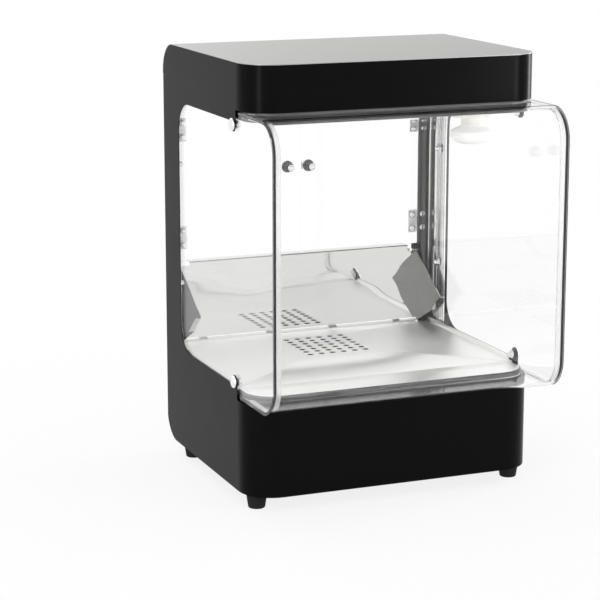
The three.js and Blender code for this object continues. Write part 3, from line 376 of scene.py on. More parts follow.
def rolled_pan(back, level, depth, up):
    """The outer face of a pan. Its outline is a line of centres with a unit spoke at each: the sides and
    front are straight and the corners turn a quarter circle. The rim carries a profile along that outline,
    a quarter roll and then a wall, and the plate joins each spoke of the left half to its mirror image."""
    turn = np.radians(np.linspace(0, 90, 15))
    centre_x = PAN_HALF_SPAN - PAN_CORNER
    left_spokes = np.stack([-np.cos(turn), -np.sin(turn)], axis=1)
    left_spokes = np.concatenate([left_spokes[:1], left_spokes])
    left_centres = np.stack([np.full(len(left_spokes), -centre_x),
                             np.full(len(left_spokes), PAN_FRONT_Y + PAN_CORNER)], axis=1)
    left_centres[0, 1] = back
    mirror = np.array([-1.0, 1.0])
    centres = np.concatenate([left_centres, left_centres[::-1] * mirror])
    spokes = np.concatenate([left_spokes, left_spokes[::-1] * mirror])
    roll = np.radians(np.linspace(0, 90, 8))
    inset = np.concatenate([PAN_ROLL * (1 - np.sin(roll)), [0.0]])
    drop = np.concatenate([PAN_ROLL * (1 - np.cos(roll)), [depth]])
    flat = centres[None] + (PAN_CORNER - inset)[:, None, None] * spokes[None]
    levels = np.broadcast_to((level + up * drop)[:, None, None], (*flat.shape[:2], 1))
    rim = np.concatenate([flat, levels], axis=2)
    half = len(left_spokes)
    plate = np.stack([rim[0, :half], rim[0, half:][::-1]], axis=1)
    return plate[:, ::up], rim[:, ::up]


LIP_BACK_Y = -95.15
LIP_LEVEL = 187.0
LIP_DEPTH = 25.0
FLOOR_LEVEL = 186.5
FLOOR_FRONT_Y = -98.15
FLOOR_BACK_Y = 229.55
FLOOR_HALF = 238.3
FLANGE_TOP = 195.0
FLANGE_CUT_TOP = 187.3
FLANGE_CUT_Y = -87.15
HOLE_COLUMNS = 6
HOLE_ROWS = 7
HOLE_PITCH = (20.2, 18.1)
HOLE_RADIUS = 5.5
HOLE_CENTRE_Y = 126.55
HOLE_STEP = 15
FLANGE_OUT = np.array([0.0, 0.2, 0.3, 0.3])
FLANGE_RISE = np.array([0.0, 0.08, 0.3])


def pierced_cells():
    """The holes' cells: at each angle, one point lies on the hole's circle and one on the cell's
    rectangle, where the unit square's edge at that angle is stretched to the pitch."""
    angle = np.radians(np.arange(0, 360, HOLE_STEP))
    spoke = np.stack([np.cos(angle), np.sin(angle)], axis=1)
    edge = spoke / np.abs(spoke).max(axis=1, keepdims=True) * np.array(HOLE_PITCH) / 2
    cell = np.stack([edge, spoke * HOLE_RADIUS])
    column, row = np.meshgrid(np.arange(HOLE_COLUMNS), np.arange(HOLE_ROWS))
    centre = np.stack([(column - (HOLE_COLUMNS - 1) / 2) * HOLE_PITCH[0],
                       HOLE_CENTRE_Y + (row - (HOLE_ROWS - 1) / 2) * HOLE_PITCH[1]], axis=-1).reshape(-1, 2)
    flat = centre[:, None, None, :] + cell[None]
    return np.concatenate([flat, np.full((*flat.shape[:3], 1), FLOOR_LEVEL)], axis=3)


def edge_shares(cells):
    """Where a row of cells has points on its edge, from -1 to nearly 1: six tangent steps to a cell."""
    step = 0.5 + 0.5 * np.tan(np.radians(np.arange(-45, 45, HOLE_STEP)))
    return ((np.arange(cells)[:, None] + step[None]) / cells * 2 - 1).ravel()


def floor_surround():
    """The plain floor round the holes: a loop on the cells' outer rectangle, and the same loop stretched
    to the floor's outline."""
    across, deep = edge_shares(HOLE_COLUMNS), edge_shares(HOLE_ROWS)
    loop = np.concatenate([
        np.stack([across, -np.ones_like(across)], axis=1), np.stack([np.ones_like(deep), deep], axis=1),
        np.stack([-across, np.ones_like(across)], axis=1), np.stack([-np.ones_like(deep), -deep], axis=1)])
    inner = loop * np.array([HOLE_COLUMNS * HOLE_PITCH[0], HOLE_ROWS * HOLE_PITCH[1]]) / 2 + [0, HOLE_CENTRE_Y]
    outer = loop * [FLOOR_HALF, (FLOOR_BACK_Y - FLOOR_FRONT_Y) / 2] + [0, (FLOOR_BACK_Y + FLOOR_FRONT_Y) / 2]
    flat = np.stack([outer, inner])
    return np.concatenate([flat, np.full((*flat.shape[:2], 1), FLOOR_LEVEL)], axis=2)


def floor_flange(side):
    """A side flange: a small bend and an upright wall carried along the floor's edge, cut down at the
    front where the visor's nuts sit."""
    share = np.append(edge_shares(HOLE_ROWS), 1.0)
    along_y = share * (FLOOR_BACK_Y - FLOOR_FRONT_Y) / 2 + (FLOOR_BACK_Y + FLOOR_FRONT_Y) / 2
    top = np.where(along_y > FLANGE_CUT_Y, FLANGE_TOP, FLANGE_CUT_TOP)
    z = np.vstack([FLOOR_LEVEL + FLANGE_RISE[:, None] * np.ones_like(along_y), top])
    x = np.broadcast_to((side * (FLOOR_HALF + FLANGE_OUT))[:, None], z.shape)
    y = np.broadcast_to(along_y, z.shape)
    return np.stack([x, y, z], axis=2)[:, ::-side]


# Bright-rolled stainless sheet: near-white under a white room, wiped with faint cloudy smears that
# blur it here and there, and slightly wavy, as thin sheet is.
bright_steel, tree, shader, place = new_finish("bright_rolled_stainless_steel")
put(shader, Base_Color=hex_colour("#fafaf9"), Metallic=1.0)
soft_relief(tree, shader, place, grain=110, detail=2.0, strength=0.3, depth=2.0)
uneven_gloss(tree, shader, place, patch=45, detail=4.0, roughness=(0.3, 0.44))

# The rolled rims are drawn steel: darker, with long broken streaks that run along the roll.
rim_steel, tree, shader, place = new_finish("drawn_stainless_rim")
put(shader, Metallic=1.0, Roughness=0.2)
streak = streaks(tree, place, stretch=(0.03, 0.03, 1.0), grain=3, detail=3.0, crispness=0.6)
streak_bump = add(tree, "ShaderNodeBump", {"Strength": 0.35, "Distance": 0.0002}, {"Height": streak})
tree.links.new(two_tones(tree, streak, "#3e3e3d", "#8a8a89", (0.35, 0.65)), shader.inputs["Base Color"])
tree.links.new(streak_bump.outputs[0], shader.inputs["Normal"])

lip_plate, lip_rim = rolled_pan(LIP_BACK_Y, LIP_LEVEL, LIP_DEPTH, -1)
fitted("floor_tray_lip", mesh_from("floor_tray_lip", [(lip_plate, False, 0), (lip_rim, False, 1)], solid=False),
       "cabinet", [bright_steel, rim_steel], ("floor_tray",), wall=PAN_SHEET)
floor_grids = [(cell, True, 0) for cell in pierced_cells()] + [(floor_surround(), True, 0)]
floor_grids += [(floor_flange(side), False, 0) for side in SIDES.values()]
fitted("floor_tray_floor", mesh_from("floor_tray_floor", floor_grids, solid=False),
       "cabinet", [bright_steel], ("floor_tray",), wall=PAN_SHEET)

CEILING_BACK_Y = 236.25
CEILING_LEVEL = 611.0
CEILING_DEPTH = 29.0

# The ceiling pan's wall is ground satin, so that it shows as an even grey band under the fascia.
ground_rim, tree, shader, place = new_finish("satin_ground_ceiling_rim")
put(shader, Metallic=1.0, Roughness=0.45)
scratch = streaks(tree, place, stretch=(0.02, 0.02, 1.0), grain=2, detail=4.0, crispness=0.6)
tree.links.new(two_tones(tree, scratch, "#4c4c4b", "#70706f", (0.3, 0.7)), shader.inputs["Base Color"])
ceiling_plate, ceiling_rim = rolled_pan(CEILING_BACK_Y, CEILING_LEVEL, CEILING_DEPTH, 1)
fitted("ceiling_pan_piece",
       mesh_from("ceiling_pan", [(ceiling_plate, False, 0), (ceiling_rim, False, 1)], solid=False),
       "cabinet", [bright_steel, ground_rim], ("ceiling_pan",), wall=PAN_SHEET)

# Hinge strip: a stainless strip bent up behind the tray as a bright kerb, with four notches for the
# flap's tabs. It is cut from the same bright-rolled sheet as the tray.
refined("flap_hinge_strip", "cabinet", [bright_steel], soft_edge=0.15)

# Scoop flap: mirror-polished stainless plate with two cheeks and a bent-back lip. It shows the tray,
# its holes and the cheeks as in a mirror, bent a little by the waves of the thin sheet.
# Between these two heights, in metres, the waves grow from almost none to their full strength.
WAVY_LEVELS = (0.235, 0.29)
mirror_steel, tree, shader, place = new_finish("mirror_polished_stainless_steel")
put(shader, Base_Color=hex_colour("#dadad9"), Metallic=1.0)
uneven_gloss(tree, shader, place, patch=30, detail=3.0, roughness=(0.01, 0.04))
stretched = add(tree, "ShaderNodeMapping", {"Scale": (0.45, 1.0, 1.0)}, {"Vector": place})
ripple = add(tree, "ShaderNodeTexNoise", {"Scale": per_mm(80), "Detail": 0.0, "Distortion": 0.3},
             {"Vector": stretched.outputs[0]})
place_parts = add(tree, "ShaderNodeSeparateXYZ", None, {0: place})
near_lip = add(tree, "ShaderNodeMapRange",
               {"From Min": WAVY_LEVELS[0], "From Max": WAVY_LEVELS[1], "To Min": 0.04},
               {"Value": place_parts.outputs["Z"]})
ripple_bump = add(tree, "ShaderNodeBump", {"Distance": 0.006},
                  {"Height": ripple.outputs["Fac"], "Strength": near_lip.outputs[0]})
tree.links.new(ripple_bump.outputs[0], shader.inputs["Normal"])

# The cheeks' flats are left satin from the rolling mill, so they look mid-grey beside the mirror.
CHEEK_FACING = 0.95
mill_steel, tree, shader, place = new_finish("mill_finish_stainless_steel")
put(shader, Base_Color=hex_colour("#8e8e8d"), Metallic=1.0)
uneven_gloss(tree, shader, place, patch=9, detail=4.0, roughness=(0.16, 0.3))

flap = refined("rear_flap", "scoop_flap", [mirror_steel, mill_steel], soft_edge=0.2)
flap_facing = np.empty(len(flap.data.polygons) * 3)
flap.data.polygons.foreach_get("normal", flap_facing)
on_cheek = np.abs(flap_facing.reshape(-1, 3)[:, 0]) > CHEEK_FACING
flap.data.polygons.foreach_set("material_index", on_cheek.astype(np.int32))

# Rails and hinge leaves: pressed steel sheet, zinc plated, dull and faintly mottled. The rails carry
# the side panes and the tray, and the leaves hold the doors to the rear posts.
zinc_plate, tree, shader, place = new_finish("zinc_plated_steel")
put(shader, Base_Color=hex_colour("#e4e6e7"), Metallic=0.2)
spangle = add(tree, "ShaderNodeTexVoronoi", {"Scale": per_mm(4)}, {"Vector": place})
spangle_rough = add(tree, "ShaderNodeMapRange", {"To Min": 0.24, "To Max": 0.42},
                    {"Value": spangle.outputs["Distance"]})
tree.links.new(spangle_rough.outputs[0], shader.inputs["Roughness"])
for node in ("left_tray_rail", "right_tray_rail",
             "left_post_lower_hinge_leaf", "left_post_upper_hinge_leaf",
             "right_post_lower_hinge_leaf", "right_post_upper_hinge_leaf"):
    refined(node, "cabinet", [zinc_plate], soft_edge=0.15)
for side_name in SIDES:
    for level_name in ("lower", "upper"):
        refined(f"{side_name}_door_{level_name}_hinge_leaf", f"{side_name}_door_leaf",
                [zinc_plate], soft_edge=0.15)

# Heating element and its box: a tubular steel element under the hot-air holes, and a box of sheet
# steel round it. Both are painted near black, in soft patches, as painted shade that keeps the tray's
# holes dark.
painted_shade_steel, tree, shader, place = new_finish("steel_painted_dark_as_shade")
put(shader, Metallic=1.0, Roughness=0.55)
tone_patch = add(tree, "ShaderNodeTexNoise", {"Scale": per_mm(18), "Detail": 3.0}, {"Vector": place})
# Painted shade: near-black tones that vary in soft patches.
painted_shade_tone = add(tree, "ShaderNodeMix", {"data_type": "RGBA", 6: hex_colour("#161412"), 7: hex_colour("#2c2927")},
                {0: tone_patch.outputs["Fac"]})
tree.links.new(painted_shade_tone.outputs[2], shader.inputs["Base Color"])
refined("heater_box", "cabinet", [painted_shade_steel], soft_edge=0.15)
refined("heating_element", "cabinet", [painted_shade_steel], soft_edge=0, sharp=50)

# Glazing: cast acrylic, 5 mm in the side panes and 4 mm in the visor and doors. Part of the glare on
# it is filtered out, so its index is set under the 1.49 of acrylic. The side panes' front edge faces
# get a near-black finish, which draws a dark line down each end of the visor.
acrylic, tree, shader, place = new_finish("clear_cast_acrylic")
put(shader, Base_Color=hex_colour("#ffffff"), Roughness=0.0, IOR=1.3, Transmission_Weight=1.0)
soft_relief(tree, shader, place, grain=200, detail=0.0, strength=0.1, depth=1.0)
lets_light = add(tree, "ShaderNodeBsdfTransparent", {"Color": hex_colour("#ffffff")})
shadow = add(tree, "ShaderNodeLightPath").outputs["Is Shadow Ray"]
pane_mix = add(tree, "ShaderNodeMixShader", None, {0: shadow, 1: shader.outputs[0], 2: lets_light.outputs[0]})
tree.links.new(pane_mix.outputs[0], tree.nodes["Material Output"].inputs["Surface"])

# Near black, with the saw's fine marks making the gloss of those edges uneven.
dark_edge_finish, tree, shader, place = new_finish("near_black_acrylic_edge")
put(shader, Base_Color=hex_colour("#070707"), Specular_IOR_Level=0.2)
uneven_gloss(tree, shader, place, patch=2.5, detail=2.0, roughness=(0.22, 0.4))

DARK_EDGE_BEFORE_Y = -205.0
EDGE_FACING = 0.5
refined("front_visor", "cabinet", [acrylic], soft_edge=0.1)
for side_name in SIDES:
    pane = refined(f"{side_name}_side_pane", "cabinet", [acrylic, dark_edge_finish], soft_edge=0.3)
    faces = pane.data.polygons
    middle = np.empty(len(faces) * 3)
    facing = np.empty(len(faces) * 3)
    faces.foreach_get("center", middle)
    faces.foreach_get("normal", facing)
    # Edge faces in front of this depth take the near-black finish that draws the dark line.
    edge_on = np.abs(facing.reshape(-1, 3)[:, 0]) < EDGE_FACING
    in_front = middle.reshape(-1, 3)[:, 1] < DARK_EDGE_BEFORE_Y / 1000
    faces.foreach_set("material_index", (edge_on & in_front).astype(np.int32))
    refined(f"{side_name}_door", f"{side_name}_door_leaf", [acrylic], soft_edge=0.1)

# Glazing beads: clear silicone laid inside both ends of the visor, against the side panes, each in
# one run from the top round the bend to the bottom.
BEAD_WIDTH = 8.0
BEAD_DEPTH = 2.6
BEAD_SQUARENESS = 0.5
BEAD_PANE_X = 239.6
BEAD_TOP_Z = 619.4
BEAD_BOTTOM_Z = 179.6
BEAD_FRONT_Y = -256.6
BEAD_BACK_Y = -152.0
BEAD_BEND = 45.4


def bead_grid(side):
    """A rounded strip carried along the inside of the visor: the path runs forward under the top, round a
    quarter circle, down the front and back along the bottom, and the section is a squared ellipse."""
    turn = np.radians(np.linspace(0, 90, 17))
    top_y = BEAD_FRONT_Y + BEAD_BEND - BEAD_BEND * np.sin(turn)
    top_z = BEAD_TOP_Z - BEAD_BEND + BEAD_BEND * np.cos(turn)
    path_y = np.concatenate([[BEAD_BACK_Y], top_y, top_y[::-1], [BEAD_BACK_Y]])
    path_z = np.concatenate([[BEAD_TOP_Z], top_z, BEAD_BOTTOM_Z + BEAD_TOP_Z - top_z[::-1], [BEAD_BOTTOM_Z]])
    lean = np.concatenate([[0.0], turn, np.pi - turn[::-1], [np.pi]])
    inward = np.stack([np.sin(lean), -np.cos(lean)], axis=1)
    angle = np.linspace(0, 2 * np.pi, 16, endpoint=False)
    round_x = np.sign(np.cos(angle)) * np.abs(np.cos(angle)) ** BEAD_SQUARENESS
    round_in = np.sign(np.sin(angle)) * np.abs(np.sin(angle)) ** BEAD_SQUARENESS
    across = BEAD_PANE_X - BEAD_WIDTH / 2 * (1 + round_x)
    depth = BEAD_DEPTH / 2 * (1 + round_in)
    x = np.broadcast_to(side * across[None], (len(path_y), len(angle)))
    y = path_y[:, None] + depth[None] * inward[:, :1]
    z = path_z[:, None] + depth[None] * inward[:, 1:]
    tube = np.stack([x, y, z], axis=2)
    first, last = tube[:1].mean(axis=1, keepdims=True), tube[-1:].mean(axis=1, keepdims=True)
    return np.concatenate([np.broadcast_to(first, tube[:1].shape), tube, np.broadcast_to(last, tube[:1].shape)])


# Clear silicone, smoothed with a tool: a soft light band beside each pane's dark edge.
silicone, tree, shader, place = new_finish("clear_silicone_bead")
put(shader, Base_Color=hex_colour("#f6f6f6"), IOR=1.41, Transmission_Weight=0.75)
uneven_gloss(tree, shader, place, patch=14, detail=2.0, roughness=(0.15, 0.3))
for side_name, side in SIDES.items():
    fitted(f"{side_name}_glazing_bead", mesh_from(f"{side_name}_glazing_bead", [(bead_grid(side), True, 0)]),
           "cabinet", [silicone], sharp=50)

# Visor bolts and pane nuts: chrome-plated steel. A bolt's mushroom head sits on each ear outside, its
# flanged nut inside, and domed cap nuts close the rear studs.


def turned(profile, centre, axis, sides=36):
    """A profile turned about an axis. Each row gives a radius, a height along the axis and the half-width
    across flats of a hexagon, or 0 where the row is round: the surface lies at the lesser of the radius
    and the hexagon's edge, so a hexagon's corners are chamfered by the cone of the radii. The grid comes
    as mesh_from takes it: it goes round, and it has the first material."""
    rows = np.array(profile, float)
    axis = np.array(axis, float)
    angle = np.linspace(0, 2 * np.pi, sides, endpoint=False)
    helper = np.array([0.0, 0.0, 1.0]) if abs(axis[2]) < 0.5 else np.array([0.0, 1.0, 0.0])
    across = np.cross(axis, helper)
    spoke = np.cos(angle)[:, None] * across + np.sin(angle)[:, None] * np.cross(axis, across)
    to_edge = 1 / np.cos((angle + np.pi / 6) % (np.pi / 3) - np.pi / 6)
    flats = np.where(rows[:, 2:] > 0, rows[:, 2:], np.inf)
    radius = np.minimum(rows[:, :1], flats * to_edge[None])
    return (np.array(centre, float) + radius[:, :, None] * spoke[None]
            + rows[:, 1][:, None, None] * axis), True, 0


BOLT_X = 247.8
BOLT_Y = -97.15
BOLT_HEIGHTS = {"lower": 199.0, "upper": 604.0}
BOLT_PROFILE = [(0, -14.7, 0), (2.5, -14.7, 0), (3, -14.2, 0), (3, 0, 0), (9.4, 0, 0), (9.9, 0.4, 0), (10, 1.0, 0),
                (9.8, 2.0, 0), (9.0, 3.2, 0), (7.6, 4.1, 0), (5.4, 4.7, 0), (2.8, 4.95, 0), (0, 5.0, 0)]
BOLT_NUT_PROFILE = [(2.8, -8.3, 0), (6.7, -8.3, 0), (7, -8.6, 0), (7, -9.4, 0), (6.2, -9.9, 0), (5.8, -9.9, 5),
                    (5.8, -12.6, 5), (5.1, -13.2, 5), (2.8, -13.2, 0), (2.8, -8.3, 0)]
STUD_X = 239.6
STUD_Y = 184.85
STUD_HEIGHTS = {"lower": 301.0, "upper": 502.0}
CAP_NUT_PROFILE = [(0, 0, 0), (6.7, 0, 0), (7, 0.3, 0), (7, 1.2, 0), (6.2, 1.7, 0), (5.8, 1.7, 5), (5.8, 4.4, 5),
                   (5.1, 5, 5), (4.2, 5.1, 0), (4.2, 6.6, 0), (3.9, 8.0, 0), (3.0, 9.2, 0), (1.6, 9.85, 0),
                   (0, 10, 0)]

# Chrome plate over machined steel: bright, with highlights that faint tooling marks soften unevenly.
chrome_plate, tree, shader, place = new_finish("chrome_plated_steel")
put(shader, Base_Color=hex_colour("#efefef"), Metallic=1.0)
uneven_gloss(tree, shader, place, patch=1.5, detail=2.0, roughness=(0.05, 0.18))

for side_name, side in SIDES.items():
    for level_name, z in BOLT_HEIGHTS.items():
        parts = [turned(profile, (side * BOLT_X, BOLT_Y, z), (side, 0, 0))
                 for profile in (BOLT_PROFILE, BOLT_NUT_PROFILE)]
        name = f"{side_name}_{level_name}_visor_bolt"
        fitted(name + "_piece", mesh_from(name, parts), "cabinet", [chrome_plate], (name,))
    for level_name, z in STUD_HEIGHTS.items():
        cap_nut = turned(CAP_NUT_PROFILE, (side * STUD_X, STUD_Y, z), (-side, 0, 0))
        name = f"{side_name}_{level_name}_pane_nut"
        fitted(name + "_piece", mesh_from(name, [cap_nut]), "cabinet", [chrome_plate], (name,))

# Hinge fixings: a socket button screw through each hole of a leaf, with a round nut on the inner face
# of the door or the post.
HINGE_SCREW_HEIGHTS = (355.0, 379.0, 539.0, 563.0)
DOOR_SCREW_X = 211.25
POST_SCREW_X = 231.25
DOOR_INNER_Y = 234.85
POST_INNER_Y = 236.55
LEAF_OUTER_Y = 240.35
ROUND_NUT_PROFILE = [(0, 0, 0), (4.9, 0, 0), (5.1, 0.3, 0), (5.1, 0.9, 0), (4.4, 1.1, 0), (4.2, 2.4, 0),
                     (3.5, 3.2, 0), (1.9, 3.5, 0), (1.6, 3.4, 0), (1.5, 2.2, 0), (0, 2.0, 0)]
BUTTON_SCREW_PROFILE = [(0, -0.2, 0), (3.0, -0.2, 0), (3.1, 0.1, 0), (2.9, 0.9, 0), (2.2, 1.6, 0), (1.45, 1.8, 0),
                        (1.35, 1.75, 1.1), (1.3, 0.7, 1.1), (0, 0.6, 0)]
for side_name, side in SIDES.items():
    for carrier, body, x, inner_y in (("door", f"{side_name}_door_leaf", DOOR_SCREW_X, DOOR_INNER_Y),
                                      ("post", "cabinet", POST_SCREW_X, POST_INNER_Y)):
        nuts = [turned(ROUND_NUT_PROFILE, (side * x, inner_y, z), (0, -1, 0), 24) for z in HINGE_SCREW_HEIGHTS]
        screws = [turned(BUTTON_SCREW_PROFILE, (side * x, LEAF_OUTER_Y, z), (0, 1, 0), 24)
                  for z in HINGE_SCREW_HEIGHTS]
        for kind, shapes in (("nuts", nuts), ("screws", screws)):
            name = f"{side_name}_{carrier}_hinge_{kind}"
            fitted(name, mesh_from(name, shapes), body, [chrome_plate])

# Flap rod, stop pin and stop bracket: a plated rod on which the flap hangs, and a small plated pin on
# a black bracket that catches the flap's upper right corner.
refined("flap_hinge_rod", "cabinet", [chrome_plate], soft_edge=0.2, sharp=50)
STOP_PIN_CENTRE = (206.5, 231.05, 317.2)
STOP_PIN_PROFILE = [(0, 0, 0), (3.0, 0, 0), (3.7, 0.4, 0), (4.0, 1.3, 0), (4.0, 2.6, 0), (3.5, 3.7, 0),
                    (2.4, 4.3, 0), (0, 4.5, 0)]
stop_pin = turned(STOP_PIN_PROFILE, STOP_PIN_CENTRE, (0, -1, 0), 24)
fitted("flap_stop_pin_piece", mesh_from("flap_stop_pin", [stop_pin]), "cabinet", [chrome_plate],
       ("flap_stop_pin",))

# Moulded parts: the bracket, the inlet, the thermostat and the two switches are moulded in black
# plastic. The mould's spark-eroded grain gives them a satin look.
black_plastic, tree, shader, place = new_finish("moulded_black_abs")
put(shader, Base_Color=hex_colour("#1c1c1c"), Roughness=0.38, IOR=1.53)
soft_relief(tree, shader, place, grain=0.8, detail=3.0, strength=0.3, depth=0.04)
for node in ("flap_stop_bracket", "power_inlet", "light_switch_housing", "heat_switch_housing", "thermostat"):
    refined(node, "cabinet", [black_plastic], soft_edge=0.3)

# Rockers: moulded in the same plastic, each with two sloping faces that meet in a shallow dip. A bar
# is printed on the upper face and a ring on the lower.
ROCKER_PIVOT = (237.35, 104.0)
ROCKER_TILT = math.radians(8)
ROCKER_DIP = 4.4
ROCKER_SLOPE = math.atan2(1.2, 6.6)
MARK_PROUD = 0.12
BAR_HALF = (0.45, 1.5)
RING_RADII = (1.0, 1.6)
MARK_REACH = 3.6
ROCKER_XS = {"light": 112.0, "heat": 152.0}


def on_rocker(x, across, along_face, half):
    """Points of a mark on the rocker's upper (half 1) or lower (half -1) face: along_face runs from the
    dip outwards on the face's slope, and the whole is tilted about the pivot."""
    reach = MARK_REACH + along_face
    y = ROCKER_DIP + reach * math.sin(ROCKER_SLOPE) + MARK_PROUD
    z = half * reach * math.cos(ROCKER_SLOPE)
    tilted_y = y * math.cos(ROCKER_TILT) - z * math.sin(ROCKER_TILT)
    tilted_z = y * math.sin(ROCKER_TILT) + z * math.cos(ROCKER_TILT)
    return np.stack([x + across, ROCKER_PIVOT[0] + tilted_y, ROCKER_PIVOT[1] + tilted_z], axis=-1)


# White ink pressed on by a pad: a thin matt film, a little uneven where the pad lifted.
mark_ink, tree, shader, place = new_finish("white_pad_printed_ink")
put(shader, Base_Color=hex_colour("#ecece8"))
uneven_gloss(tree, shader, place, patch=0.5, detail=2.0, roughness=(0.4, 0.6))
for name, x in ROCKER_XS.items():
    refined(f"{name}_switch_rocker", f"{name}_rocker", [black_plastic], soft_edge=0.3)
    bar_x, bar_z = np.meshgrid([-BAR_HALF[0], BAR_HALF[0]], [-BAR_HALF[1], BAR_HALF[1]])
    ring_angle = np.linspace(0, 2 * np.pi, 28, endpoint=False)
    ring_radius = np.array(RING_RADII)[:, None]
    ring = on_rocker(x, ring_radius * np.cos(ring_angle), ring_radius * np.sin(ring_angle), -1)
    bar = on_rocker(x, bar_x, bar_z, 1)
    marks = mesh_from(f"{name}_switch_marks", [(bar, False, 0), (ring, True, 0)], solid=False)
    fitted(f"{name}_switch_marks", marks, f"{name}_rocker", [mark_ink], wall=MARK_PROUD / 2)

# Door knobs: turned black plastic, waisted behind the door, each held by a plated screw and a small
# washer on the inner face. Lathe marks make their gloss uneven.
KNOB_X = 19.5
KNOB_Z = 475.5
KNOB_SEAT_Y = 239.15
KNOB_HEAD = {"radius": 10.35, "middle": 15.2, "half_height": 6.8, "squareness": 0.62}
head_angle = np.radians(np.linspace(-52, 90, 18))
head_rows = np.stack([KNOB_HEAD["radius"] * np.cos(head_angle) ** KNOB_HEAD["squareness"],
                      KNOB_HEAD["middle"] + KNOB_HEAD["half_height"] * np.sin(head_angle),
                      0 * head_angle], axis=1)
KNOB_STEM = [(0, 0, 0), (7.2, 0, 0), (7.2, 1.0, 0), (6.4, 2.2, 0), (6.0, 4.4, 0), (6.1, 7.0, 0)]
KNOB_PROFILE = np.concatenate([KNOB_STEM, head_rows])
WASHER_PROFILE = [(2.2, 0, 0), (5.8, 0, 0), (6.0, 0.2, 0), (5.9, 1.0, 0), (5.5, 1.2, 0), (2.2, 1.3, 0),
                  (2.2, 0, 0)]
KNOB_SCREW_PROFILE = [(0, 1.2, 0), (4.6, 1.2, 0), (4.7, 1.6, 0), (4.3, 2.7, 0), (3.3, 3.4, 0), (2.3, 3.6, 0),
                      (2.1, 3.5, 1.6), (2.0, 1.9, 1.6), (0, 1.8, 0)]

knob_plastic, tree, shader, place = new_finish("turned_black_phenolic")
put(shader, Base_Color=hex_colour("#242424"), IOR=1.58)
uneven_gloss(tree, shader, place, patch=3, detail=3.0, roughness=(0.26, 0.44))
for side_name, side in SIDES.items():
    body = f"{side_name}_door_leaf"
    knob = turned(KNOB_PROFILE, (side * KNOB_X, KNOB_SEAT_Y, KNOB_Z), (0, 1, 0), 40)
    fitted(f"{side_name}_door_knob_piece", mesh_from(f"{side_name}_door_knob", [knob]), body,
           [knob_plastic], (f"{side_name}_door_knob",), sharp=50)
    washer, screw = (turned(profile, (side * KNOB_X, DOOR_INNER_Y, KNOB_Z), (0, -1, 0))
                     for profile in (WASHER_PROFILE, KNOB_SCREW_PROFILE))
    fitted(f"{side_name}_door_knob_washer", mesh_from(f"{side_name}_door_knob_washer", [washer]), body,
           [zinc_plate])
    fitted(f"{side_name}_door_knob_screw_piece", mesh_from(f"{side_name}_door_knob_screw", [screw]), body,
           [chrome_plate], (f"{side_name}_door_knob_screw",))

# Feet: moulded rubber, tapered, matt with a little dust in the grain, each held by a screw in its
# hollow.
FOOT_X = 222.0
FOOT_YS = {"front": -125.15, "rear": 174.85}
FOOT_PROFILE = [(6, 12, 0), (6, 0.8, 0), (6.6, 0, 0), (12.2, 0, 0), (13.1, 0.5, 0), (13.6, 1.6, 0),
                (17.0, 24.2, 0), (16.6, 24.7, 0), (2.5, 24.7, 0), (2.5, 12, 0), (6, 12, 0)]
FOOT_SCREW_PROFILE = [(0, 8.6, 0), (1.1, 8.7, 1.0), (1.2, 7.6, 1.0), (2.0, 7.5, 0), (4.0, 8.2, 0), (4.9, 9.6, 0),
                      (5.0, 11.7, 0), (2.2, 11.7, 0), (2.2, 24.6, 0), (0, 24.6, 0)]

foot_rubber, tree, shader, place = new_finish("moulded_rubber")
put(shader, Base_Color=hex_colour("#151515"), Roughness=0.75, Specular_IOR_Level=0.25)
soft_relief(tree, shader, place, grain=1.2, detail=4.0, strength=0.4, depth=0.1)
for side_name, side in SIDES.items():
    for place_name, y in FOOT_YS.items():
        name = f"{place_name}_{side_name}_foot"
        foot = turned(FOOT_PROFILE, (side * FOOT_X, y, 0), (0, 0, 1), 48)
        foot_screw = turned(FOOT_SCREW_PROFILE, (side * FOOT_X, y, 0), (0, 0, 1))
        fitted(name + "_piece", mesh_from(name, [foot]), "cabinet", [foot_rubber], (name,), sharp=50)
        fitted(name + "_screw", mesh_from(name + "_screw", [foot_screw]), "cabinet", [chrome_plate])

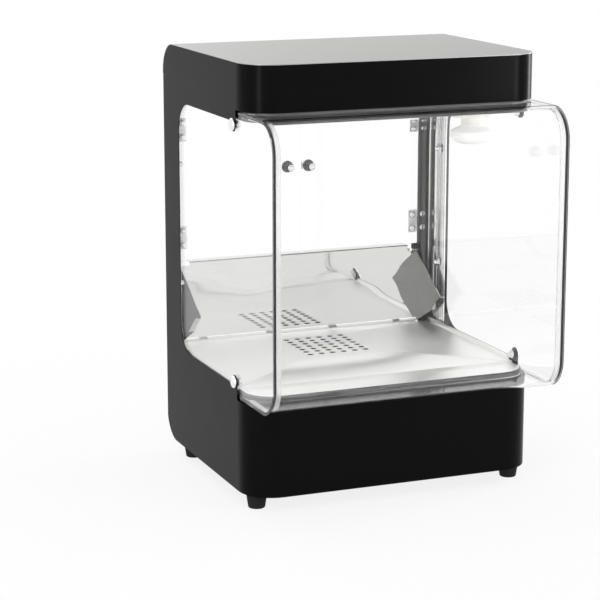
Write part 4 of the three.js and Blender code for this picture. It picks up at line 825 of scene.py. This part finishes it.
# Lamp: a blown reflector bulb in a ceramic holder whose disc seats under the ceiling. Each profile is
# a list of radii and heights, the bulb's with a shallow elliptical face and a waisted neck.
LAMP_PLACE = (168.0, -76.15)
BULB_Z = 548.1
HOLDER_Z = 584.4
BULB_FACE = {"radius": 35.0, "depth": 16.0}
BULB_SHOULDER = {"radius": 34.5, "height": 22.0}
BULB_NECK = {"radius": 16.5, "height": 36.0}
dome = np.radians(np.linspace(0, 90, 12))
waist = np.linspace(0, 1, 12)[1:]
waist_fall = (BULB_SHOULDER["radius"] - BULB_NECK["radius"]) * (1 + np.cos(np.pi * waist)) / 2
waist_rise = (BULB_NECK["height"] - BULB_SHOULDER["height"]) * waist
BULB_PROFILE = np.concatenate([
    np.stack([BULB_FACE["radius"] * np.sin(dome), BULB_FACE["depth"] * (1 - np.cos(dome)), 0 * dome], axis=1),
    [(34.9, 19.0, 0), (BULB_SHOULDER["radius"], BULB_SHOULDER["height"], 0)],
    np.stack([BULB_NECK["radius"] + waist_fall, BULB_SHOULDER["height"] + waist_rise, 0 * waist], axis=1),
    [(13, 36, 0), (13, 62, 0), (0, 62, 0)]])
HOLDER_PROFILE = [(13.3, 0.4, 0), (13.7, 0, 0), (16.4, 0, 0), (17, 0.6, 0), (17, 13.8, 0), (17.6, 14.6, 0),
                  (29.8, 14.6, 0), (30.8, 15.4, 0), (31, 17, 0), (31, 26.3, 0), (17, 26.3, 0), (17, 42, 0),
                  (0, 42, 0), (0, 29.4, 0), (13.3, 29.4, 0), (13.3, 0.4, 0)]

# Acid-frosted glass, lit from inside: a weak milky glow under a smooth outer skin.
frosted_glass, tree, shader, place = new_finish("frosted_reflector_glass")
put(shader, Base_Color=hex_colour("#dededc"), IOR=1.5, Coat_Weight=0.3,
    Emission_Color=hex_colour("#ffffff"), Emission_Strength=0.2)
uneven_gloss(tree, shader, place, patch=2, detail=2.0, roughness=(0.25, 0.45))
bulb = turned(BULB_PROFILE, (*LAMP_PLACE, BULB_Z), (0, 0, 1), 64)
fitted("lamp_bulb_piece", mesh_from("lamp_bulb", [bulb]), "cabinet", [frosted_glass], ("lamp_bulb",),
       sharp=60)

# Pressed steatite under a clear glaze: warm white, with shallow waves where the glaze pooled.
glazed_ceramic, tree, shader, place = new_finish("glazed_steatite")
put(shader, Base_Color=hex_colour("#f2f0ea"), Roughness=0.22, IOR=1.55)
soft_relief(tree, shader, place, grain=6, detail=2.0, strength=0.2, depth=0.2)
holder = turned(HOLDER_PROFILE, (*LAMP_PLACE, HOLDER_Z), (0, 0, 1), 56)
fitted("lamp_holder_piece", mesh_from("lamp_holder", [holder]), "cabinet", [glazed_ceramic],
       ("lamp_holder",), sharp=50)
